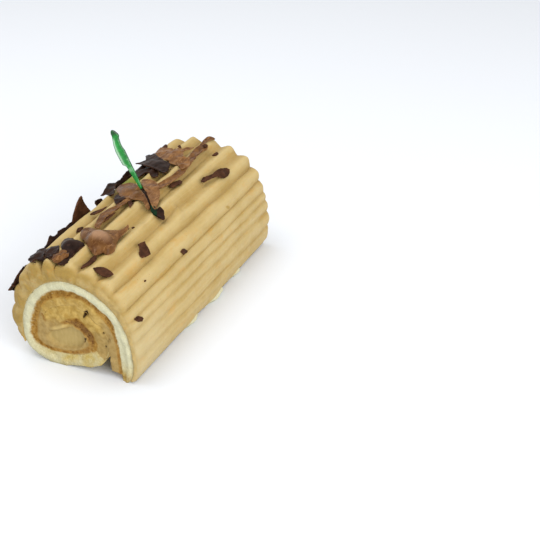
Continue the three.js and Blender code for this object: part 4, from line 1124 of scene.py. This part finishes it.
def shaving(surface, seed):
    """A bent sheet of chocolate with an uneven outline and a rounded rim."""
    corner = surface(np.array([0.0, 1, 0.5, 0.5]), np.array([0.5, 0.5, 0, 1]))
    wide = max(2.5, np.linalg.norm(corner[0] - corner[1]))
    long = max(2.5, np.linalg.norm(corner[2] - corner[3]))
    us, vs = [shares_with_fine_ends(max(4, int(size / FINENESS)), size) for size in (wide, long)]
    u, v = np.meshgrid(us, vs, indexing="ij")
    shift = np.stack([u * wide, v * long, 0 * u + seed * 7.3], -1)
    bend_u = waves(shift * (0, 1, 1), 2.6, 61) + 0.5 * waves(shift * (0, 1, 1), 1.1, 62)
    bend_v = waves(shift * (1, 0, 1), 2.6, 63) + 0.5 * waves(shift * (1, 0, 1), 1.1, 64)
    side_u, side_v = [np.abs(2 * w - 1) ** 3 * np.sign(w - 0.5) for w in (u, v)]
    middle = surface(u, v)
    du, dv = [unit(np.gradient(middle, axis=axis)) for axis in (0, 1)]
    # The outline is less ragged where the sheet is narrow.
    width = np.linalg.norm(middle - surface(1 - u, v), axis=-1)
    room = np.minimum(1, width / np.maximum(1e-6, np.abs(2 * u - 1)) / 5)
    middle = middle + du * (RAGGED * bend_u * side_u * room)[..., None]
    middle = middle + dv * (RAGGED * bend_v * side_v)[..., None]
    normal = unit(np.cross(du, dv))
    middle += normal * (RIPPLE * rough(middle, 4.5, seed))[..., None]
    rim = np.minimum(np.minimum(u, 1 - u) * wide, np.minimum(v, 1 - v) * long)
    half = THICKNESS / 2
    near = np.clip(rim / half, 0, 1)
    thick = normal * (half * (0.25 + 0.75 * np.sqrt(1 - (1 - near) ** 2)))[..., None]
    index = np.arange(rim.size).reshape(rim.shape)
    quads = np.stack([index[:-1, :-1], index[1:, :-1], index[1:, 1:], index[:-1, 1:]], -1)
    edge = np.r_[index[:-1, 0], index[-1, :-1], index[:0:-1, -1], index[0, :0:-1]].tolist()
    return both_sides(middle.reshape(-1, 3), thick.reshape(-1, 3), quads.reshape(-1, 4).tolist(),
                      zip(edge, edge[1:] + edge[:1]), np.c_[rim.ravel(), 0 * rim.ravel()])


def both_sides(middle, thick, faces, wall, values):
    """A thin piece's points, faces and values, from those of the surface in its middle."""
    points = np.vstack([middle + thick, middle - thick])
    return points, closed(faces, wall, len(middle)), np.vstack([values, values])


SURFACE_SLACK = 8  # how loosely a bent surface keeps to the heights it is given
# How far apart a piece's points are along its outline and inside, and how clear of the
# outline those inside keep. Two rings of points inside it shape the rounded rim.
EDGE_STEP, PIECE_STEP, PIECE_CLEAR, RINGS = 0.5, 0.62, 0.75, (0.14, 0.42)
# For dark and for milk pieces: half the thickness, and how uneven the outline is.
DARK_HALF, MILK_HALF = 0.55, 0.5
DARK_UNEVEN, MILK_UNEVEN = 0.3, 0.16
SLOPE_STEP = 0.05  # how far apart two heights are read, for the slope between them


def thin_plate(spots, values):
    """A smooth surface through values at spots."""
    def kernel(a, b):
        r = distances(a, b)
        return np.where(r > 0, r * r * np.log(np.maximum(r, 1e-9)), 0)

    n = len(spots)
    system = np.zeros((n + 3, n + 3))
    system[:n, :n] = kernel(spots, spots) + np.eye(n) * SURFACE_SLACK
    system[:n, n:] = np.c_[np.ones(n), spots]
    system[n:, :n] = system[:n, n:].T
    weights = np.linalg.solve(system, np.r_[values, 0, 0, 0])
    return lambda at: kernel(at, spots) @ weights[:n] + weights[n] + at @ weights[n + 1:]


def closed_curve(points, curved):
    """A closed outline with points a step apart, curved or with straight sides."""
    line = []
    for near in zip(*[np.roll(points, -k, 0) for k in (-1, 0, 1, 2)]):
        _, start, end, _ = near
        pieces = max(1, int(round(np.hypot(*(end - start)) / EDGE_STEP)))
        for w in np.arange(pieces) / pieces:
            line.append(between(*near, w)[0] if curved else lerp(start, end, w))
    return np.array(line)


def filled(edge, seed):
    """Points and faces that fill a closed outline, and how far each point is from it."""
    along = np.roll(edge, -1, 0) - np.roll(edge, 1, 0)
    inward = np.c_[-along[:, 1], along[:, 0]] / np.hypot(*along.T)[:, None]
    x, y = edge.T
    inward *= np.sign(np.sum(x * np.roll(y, -1) - y * np.roll(x, -1)))
    rings = [clear_inside(edge + inward * reach, edge, reach * 0.85) for reach in RINGS]
    grid = jittered_grid(edge, PIECE_STEP, 0.1, seed)
    return triangles(edge, clear_inside(grid, edge, PIECE_CLEAR), *rings)


def thin_piece(points, seed, dark, surface, curl, ripple, ripple_size, raised):
    """A thin piece with an outline, bent as a surface is, with a rounded rim. The surface is
    read at flat spots, at a height over it. Gives points, faces and two values at each point:
    how far it is from the rim and how much it is raised."""
    edge = closed_curve(points, not dark)
    shift = np.c_[edge, np.full(len(edge), seed * 7.3)]
    uneven = DARK_UNEVEN if dark else MILK_UNEVEN
    edge = edge + uneven * np.c_[waves(shift, 1.3, 61), waves(shift, 1.3, 62)]
    flat, faces, rim = filled(edge, seed)
    wave = rough(np.c_[flat * (1, 0.6), 0 * rim + seed * 7.3], ripple_size, seed, 2)
    middle = surface(flat, ripple * wave + curl * (1 - smooth(rim, 0.2, 2.2)))
    du, dv = [surface(flat + step, 0) - surface(flat - np.array(step), 0)
              for step in ((SLOPE_STEP, 0), (0, SLOPE_STEP))]
    half = DARK_HALF if dark else MILK_HALF
    near = np.clip(rim / RINGS[-1], 0, 1)
    thick = unit(np.cross(dv, du)) * half * (0.3 + 0.7 * np.sqrt(1 - (1 - near) ** 2))[:, None]
    sides = {(a, b) for face in faces for a, b in zip(face, face[1:] + face[:1])}
    wall = [(b, a) for a, b in sorted(sides) if (b, a) not in sides]
    return both_sides(middle, thick, faces, wall, np.c_[rim, raised(flat)])


# How much a piece's rim turns up, how much it ripples, and how long the ripples are.
BENDING = {
    "milk_big_curl": (-0.7, 0.12, 5.5), "milk_front_curl": (0.3, 1.3, 2.6),
    "milk_rear_plate": (0.6, 1, 4.4), "milk_rear_shaving": (0.5, 0.8, 4),
    "milk_left_plate": (0.3, 0.3, 7), "milk_right_plate": (0.3, 0.3, 7),
    "dark_rounded_curl": (-0.4, 0.14, 5.5), "dark_slope_shard": (0.4, 0.8, 2.8),
    "dark_corner_shard": (0.4, 0.9, 2.8), "leaf_tip": (0, 0, 5),
}
DARK_BENDING = (0.35, 0.3, 3.5)
MILK_BENDING = (0.5, 0.4, 5.5)
STANDING_BENDING = (0, 0.14, 5.5)
# Raised spots get the painted highlight of their material.
RAISED_BY = 7  # a spot this far over a piece's usual height has its raised colour


def outlined(name, usual, outline, inner, seed, dark, laid=False):
    """A piece on the cream: laid on it at the usual height, or bent through its heights."""
    rows = np.array([(*spot, usual)[:3] for spot in outline + inner], float)
    rows[:, 0] *= COAT_LENGTH / 1000
    bend = thin_plate(rows[:, :2], rows[:, 2])

    def surface(flat, more):
        cream = cream_height(flat[:, 0] / COAT_LENGTH, flat[:, 1])[0]
        height = cream + usual if laid else np.maximum(bend(flat), cream + 0.2)
        return over_coat(flat[:, 0] / COAT_LENGTH, flat[:, 1], height + more)

    def raised(flat):
        return 0 * flat[:, 0] if laid else np.clip((bend(flat) - usual) / RAISED_BY, 0, 1)

    bending = BENDING.get(name, DARK_BENDING if dark else MILK_BENDING)
    if laid:
        bending = (0, *DARK_BENDING[1:])
    return thin_piece(rows[:len(outline), :2], seed, dark, surface, *bending, raised)


def standing(share, outline, seed):
    """A dark piece that stands on edge along the log, with an outline of y and height."""
    def surface(flat, more):
        lean = share + (0.5 * waves(np.c_[flat, 0 * flat[:, :1]], 8, seed) + more) / COAT_LENGTH
        return over_coat(lean, flat[:, 0], flat[:, 1])

    points = np.array(outline, float)
    return thin_piece(points, seed, True, surface, *STANDING_BENDING, lambda flat: 0 * flat[:, 0])


# Pieces that stand on edge along the left: name, share, and an outline of y and height.
STANDING = [
    ("dark_edge", 0.3, [
        (-78, 0.6), (-74, 1.9), (-70.4, 2.8), (-65.9, 4.1), (-62.8, 5.7), (-61.2, 5.7),
        (-60.7, 4.3), (-59.4, 3.6), (-56.1, 3.9), (-54.4, 4.7), (-51.8, 4.4), (-49.3, 4),
        (-46, 3.4), (-41.4, 3.8), (-38.6, 3.9), (-38, 0), (-50, -0.6), (-64, -0.6), (-76, -1)]),
    ("dark_edge", 0.3, [
        (-10.4, -0.6), (-9.8, 3.3), (-8.3, 4.1), (-5.2, 3.7), (-2.4, 3.3), (-1.2, 2.6),
        (-2, -1)]),
    ("dark_under_shard", 0.32, [
        (11.5, 1), (12.3, 4.8), (16.5, 4.9), (21.4, 4.3), (25.1, 4.9), (31.5, 5.8), (35.4, 5.6),
        (36, 1), (24, 0)]),
    ("dark_front_spike", 0.22, [
        (-99.4, 0), (-98.9, 2.2), (-97.9, 2.5), (-93.3, 3.5), (-86.8, 4.6), (-83.6, 5),
        (-79, 6.2), (-77, 5.4), (-76, 1), (-84, 0.6), (-90, 0)]),
]

# Small flakes sunk in the cream: share, y, length, width and turn.
FLAKES = [
    (0.24, -84, 6, 3, 0.2), (0.552, 80, 6.4, 3.4, 0), (0.416, 76.7, 4.2, 2.4, 0.45),
    (0.721, -23.8, 8.4, 3.5, 2.71), (0.776, -91, 7.2, 3.4, 2.61), (0.697, -71.9, 1.9, 1.3, 2.9),
    (0.573, -92, 1.6, 1.1, 0.7), (0.542, -39.4, 2.3, 1.6, 1), (0.524, -39.5, 3.8, 2.4, 0.3),
    (0.371, -51.3, 8, 2, 0), (0.337, 83, 9, 4, 0.55),
]
# Flakes with an outline: the height, then shares in thousandths and y.
DRAWN_FLAKES = [
    # Painted shade: a dark flake on the long ribbon for the shadow of a fold in it.
    (3.6, [(499, 79.6), (505, 78.4), (513, 79.4), (516, 81.6), (508, 82.9), (501, 82)]),
    (1.7, [(456, -16.3), (455, -12.6), (468, -14), (478, -16.2), (483, -20.3), (482, -22.8),
     (468, -19.3)]),
    # Painted shade: a dark flake for the shadow under the front ribbon.
    (1.7, [(363, -34.4), (367, -32), (377, -29.9), (383, -28.2), (397, -23), (395, -28),
     (390, -31.6), (382, -35.2)]),
    (1.7, [(439, -43.5), (434, -38), (436, -35.1), (445, -32.8), (453, -31.3), (453, -35.7),
     (453, -39.3), (451, -43.7), (446, -44.6)]),
]
THIN_AND_BROWN = [
    "dark_triangle", "dark_square_flake", "dark_oval_flake", "dark_long_flake",
    "dark_valley_flake", "dark_groove_shard", "dark_strewn",
]
LIGHT_MILK = ["milk_right_plate", "milk_rear_plate", "milk_rear_shaving"]
FLAKE_HEIGHT = 0.4
# The flakes on the hidden flank: how many, their shares, and their y's reach.
STREWN_FLAKES = 12
STREWN_SHARES = (0.03, 0.27)
STREWN_REACH = 94
FLAKE_SEED = 5
MULTIPLIER, MODULUS = 16807, 2147483647  # of the random numbers in the solids


def strewn_flakes():
    """The flakes on the hidden flank, at the places they have in the solids."""
    state = FLAKE_SEED
    draws = []
    for _ in range(STREWN_FLAKES * 5):
        state = state * MULTIPLIER % MODULUS
        draws.append(state / MODULUS)
    for share, y, long, wide, turn in np.array(draws).reshape(-1, 5):
        yield (lerp(*STREWN_SHARES, share), lerp(-STREWN_REACH, STREWN_REACH, y),
               lerp(3.5, 7, long), lerp(2.5, 4, wide), math.pi * turn)


def flake_outline(share, y, long, wide, turn, rng):
    """An angular outline of a flake, as shares in thousandths and y."""
    corners = int(rng.integers(6, 9))
    angles = np.linspace(0, 2 * np.pi, corners, endpoint=False)
    angles = angles + rng.uniform(-0.3, 0.3, corners)
    size = rng.uniform(0.8, 1.15, corners) / 2
    a, b = np.cos(angles) * long * size, np.sin(angles) * wide * size
    u = share * COAT_LENGTH - math.sin(turn) * a + math.cos(turn) * b
    v = y + math.cos(turn) * a + math.sin(turn) * b
    return [(p / COAT_LENGTH * 1000, q) for p, q in zip(u, v)]


def joined(parts):
    """One mesh's points, faces and values from those of several parts."""
    points, faces, values = [], [], []
    for part_points, part_faces, part_values in parts:
        before = sum(map(len, points))
        points.append(part_points)
        values.append(part_values)
        faces += [tuple(i + before for i in face) for face in part_faces]
    return np.vstack(points), faces, np.vstack(values)


def build_chocolate():
    parts, seeds = defaultdict(list), itertools.count(1)
    for name, surfaces in BENT.items():
        parts[name] += [shaving(surface, next(seeds)) for surface in surfaces]
    for name, (usual, outline, inner) in OUTLINED.items():
        dark = name.startswith("dark")
        parts[name].append(outlined(name, usual, outline, inner, next(seeds), dark))
    for name, share, outline in STANDING:
        parts[name].append(standing(share, outline, next(seeds)))
    rng = np.random.default_rng(FLAKE_SEED)
    for flake in [*FLAKES, *strewn_flakes()]:
        outline = flake_outline(*flake, rng)
        parts["dark_strewn"].append(
            outlined("", FLAKE_HEIGHT, outline, [], next(seeds), True, laid=True))
    for height, outline in DRAWN_FLAKES:
        parts["dark_strewn"].append(outlined("", height, outline, [], next(seeds), True))
    for name, pieces in parts.items():
        node = "cream_coat" if name in ("dark_strewn", "dark_edge") else name
        finish_chocolate(name, [node], joined(pieces))


def finish_chocolate(name, nodes, made):
    """Dark pieces and milk ones, apart from the thin and the light ones."""
    points, faces, values = made
    kind = "dark" if name.startswith("dark") else "milk"
    material = dark_material if kind == "dark" else milk_material
    if name in THIN_AND_BROWN:
        material = flake_material
    if name in LIGHT_MILK:
        material = light_milk_material
    add_mesh(f"{name}_shaving", points, faces, material, nodes,
             {"rim": values[:, 0], "raised": values[:, 1]})


build_chocolate()

# ---- the pick


def build_pick():
    rise = unit(np.array(PICK_RISE))
    broad = unit(-np.cross(PICK_BROAD_SIDE, rise))
    facing = np.cross(broad, rise)
    foot = over_coat(*[np.array(float(v)) for v in PICK_FOOT])
    at = np.linspace(PICK_LEFT[0][0], PICK_LEFT[-1][0], PICK_ROWS)
    left, right = [np.interp(at, *zip(*side))[:, None] for side in (PICK_LEFT, PICK_RIGHT)]
    turn = np.linspace(0, 2 * np.pi, PICK_COLUMNS + 1)[:-1]
    c, s = [np.abs(v) ** PICK_SQUARED * np.sign(v) for v in (np.cos(turn), np.sin(turn))]
    x = c * ((right - left) / 2) + (left + right) / 2
    z = s * (PICK_THICKNESS / 2) * np.ones_like(x)
    spot = foot + broad * x[..., None] + rise * at[:, None, None] + facing * z[..., None]
    spot += facing * (0.25 * rough(spot, 5, 71))[..., None]
    edge = (x - left) / (right - left)
    # The leaf goes from 16 to 39 mm up. It is painted pale on the left, as light through the
    # translucent plastic, and at the stem as a painted highlight; deeper on its right edge as
    # painted shade; and deep along its outline and at the top.
    up = at[:, None]
    leaf = smooth(up, 16, 19) * (1 - smooth(up, 36, 39))
    pale = bump(edge - 0.17, 0.2) * leaf + 0.7 * bump(up - 14, 2.5) * (1 - edge)
    outline = (1 - smooth(edge, 0, 0.08)) * leaf * 0.8
    deep = smooth(edge, 0.72, 1.0) * 0.75 + smooth(up, 38.5, 41) * 0.8 + outline
    attributes = {"pale": np.clip(pale, 0, 1), "deep": np.clip(deep, 0, 1)}
    add_mesh("leaf_pick", spot, tube_faces(*x.shape), pick_material,
             ["green_pick"], attributes)


def build_pick_tip():
    """The pick's tip in the gap between the milk chocolate plates, painted dark green as the pick
    in shade.
    """
    points, faces, values = outlined("leaf_tip", 2.7, PICK_TIP, [], 7, True)
    add_mesh("leaf_pick_tip", points, faces, shaded_tip_material, ["green_pick"],
             {"rim": values[:, 0], "raised": values[:, 1]})


build_pick()
build_pick_tip()

# ---- floor, light and camera

FLOOR_REACH = 4.0
AIM = Vector((0, 0, 0.04))
# Round lamps: name, place, size and power.
LAMPS = [
    ("key", (-0.45, -0.1, 1.3), 0.9, 6.6),
    ("fill", (1.15, -0.65, 0.72), 1.0, 12.4),
]
SKY_STRENGTH = 0.84
AZIMUTH, ELEVATION = math.radians(22.5), math.radians(30)
CAMERA_PLACE = (0.2919, -0.4818, 0.3402)


def build_floor():
    mesh = bpy.data.meshes.new("floor")
    corners = [(-1, -1), (1, -1), (1, 1), (-1, 1)]
    mesh.from_pydata([(x * FLOOR_REACH, y * FLOOR_REACH, 0) for x, y in corners], [], [range(4)])
    floor = bpy.data.objects.new("floor", mesh)
    bpy.context.collection.objects.link(floor)
    m = Looks("pale_floor", Roughness=0.9, Base_Color=(0.775, 0.8, 0.84, 1))
    mesh.materials.append(m.material)
    floor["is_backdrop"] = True


def add_lamp(name, place_m, size, power):
    data = bpy.data.lights.new(name, "AREA")
    data.shape = "DISK"
    data.size = size
    data.energy = power
    lamp = bpy.data.objects.new(name, data)
    lamp.location = place_m
    lamp.rotation_euler = (AIM - Vector(place_m)).to_track_quat("-Z", "Y").to_euler()
    bpy.context.collection.objects.link(lamp)


build_floor()
for lamp_row in LAMPS:
    add_lamp(*lamp_row)
world = bpy.data.worlds.new("studio")
world.use_nodes = True
sky = world.node_tree.nodes["Background"].inputs
sky["Color"].default_value = (1, 1, 1, 1)
sky["Strength"].default_value = SKY_STRENGTH
bpy.context.scene.world = world
bpy.context.scene.view_settings.view_transform = "Standard"

camera_data = bpy.data.cameras.new("camera")
camera_data.sensor_width = 36
camera_data.lens = 59.93
camera_data.clip_start, camera_data.clip_end = 0.01, 20
camera = bpy.data.objects.new("camera", camera_data)
back = Vector((
    math.sin(AZIMUTH) * math.cos(ELEVATION), -math.cos(AZIMUTH) * math.cos(ELEVATION),
    math.sin(ELEVATION),
))
camera.location = CAMERA_PLACE
camera.rotation_mode = "QUATERNION"
camera.rotation_quaternion = (-back).to_track_quat("-Z", "Y")
bpy.context.collection.objects.link(camera)
bpy.context.scene.camera = camera

boxes = {"cad": cad_box, "visual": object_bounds()}
{key: [list(corner) for corner in box] for key, box in boxes.items()}
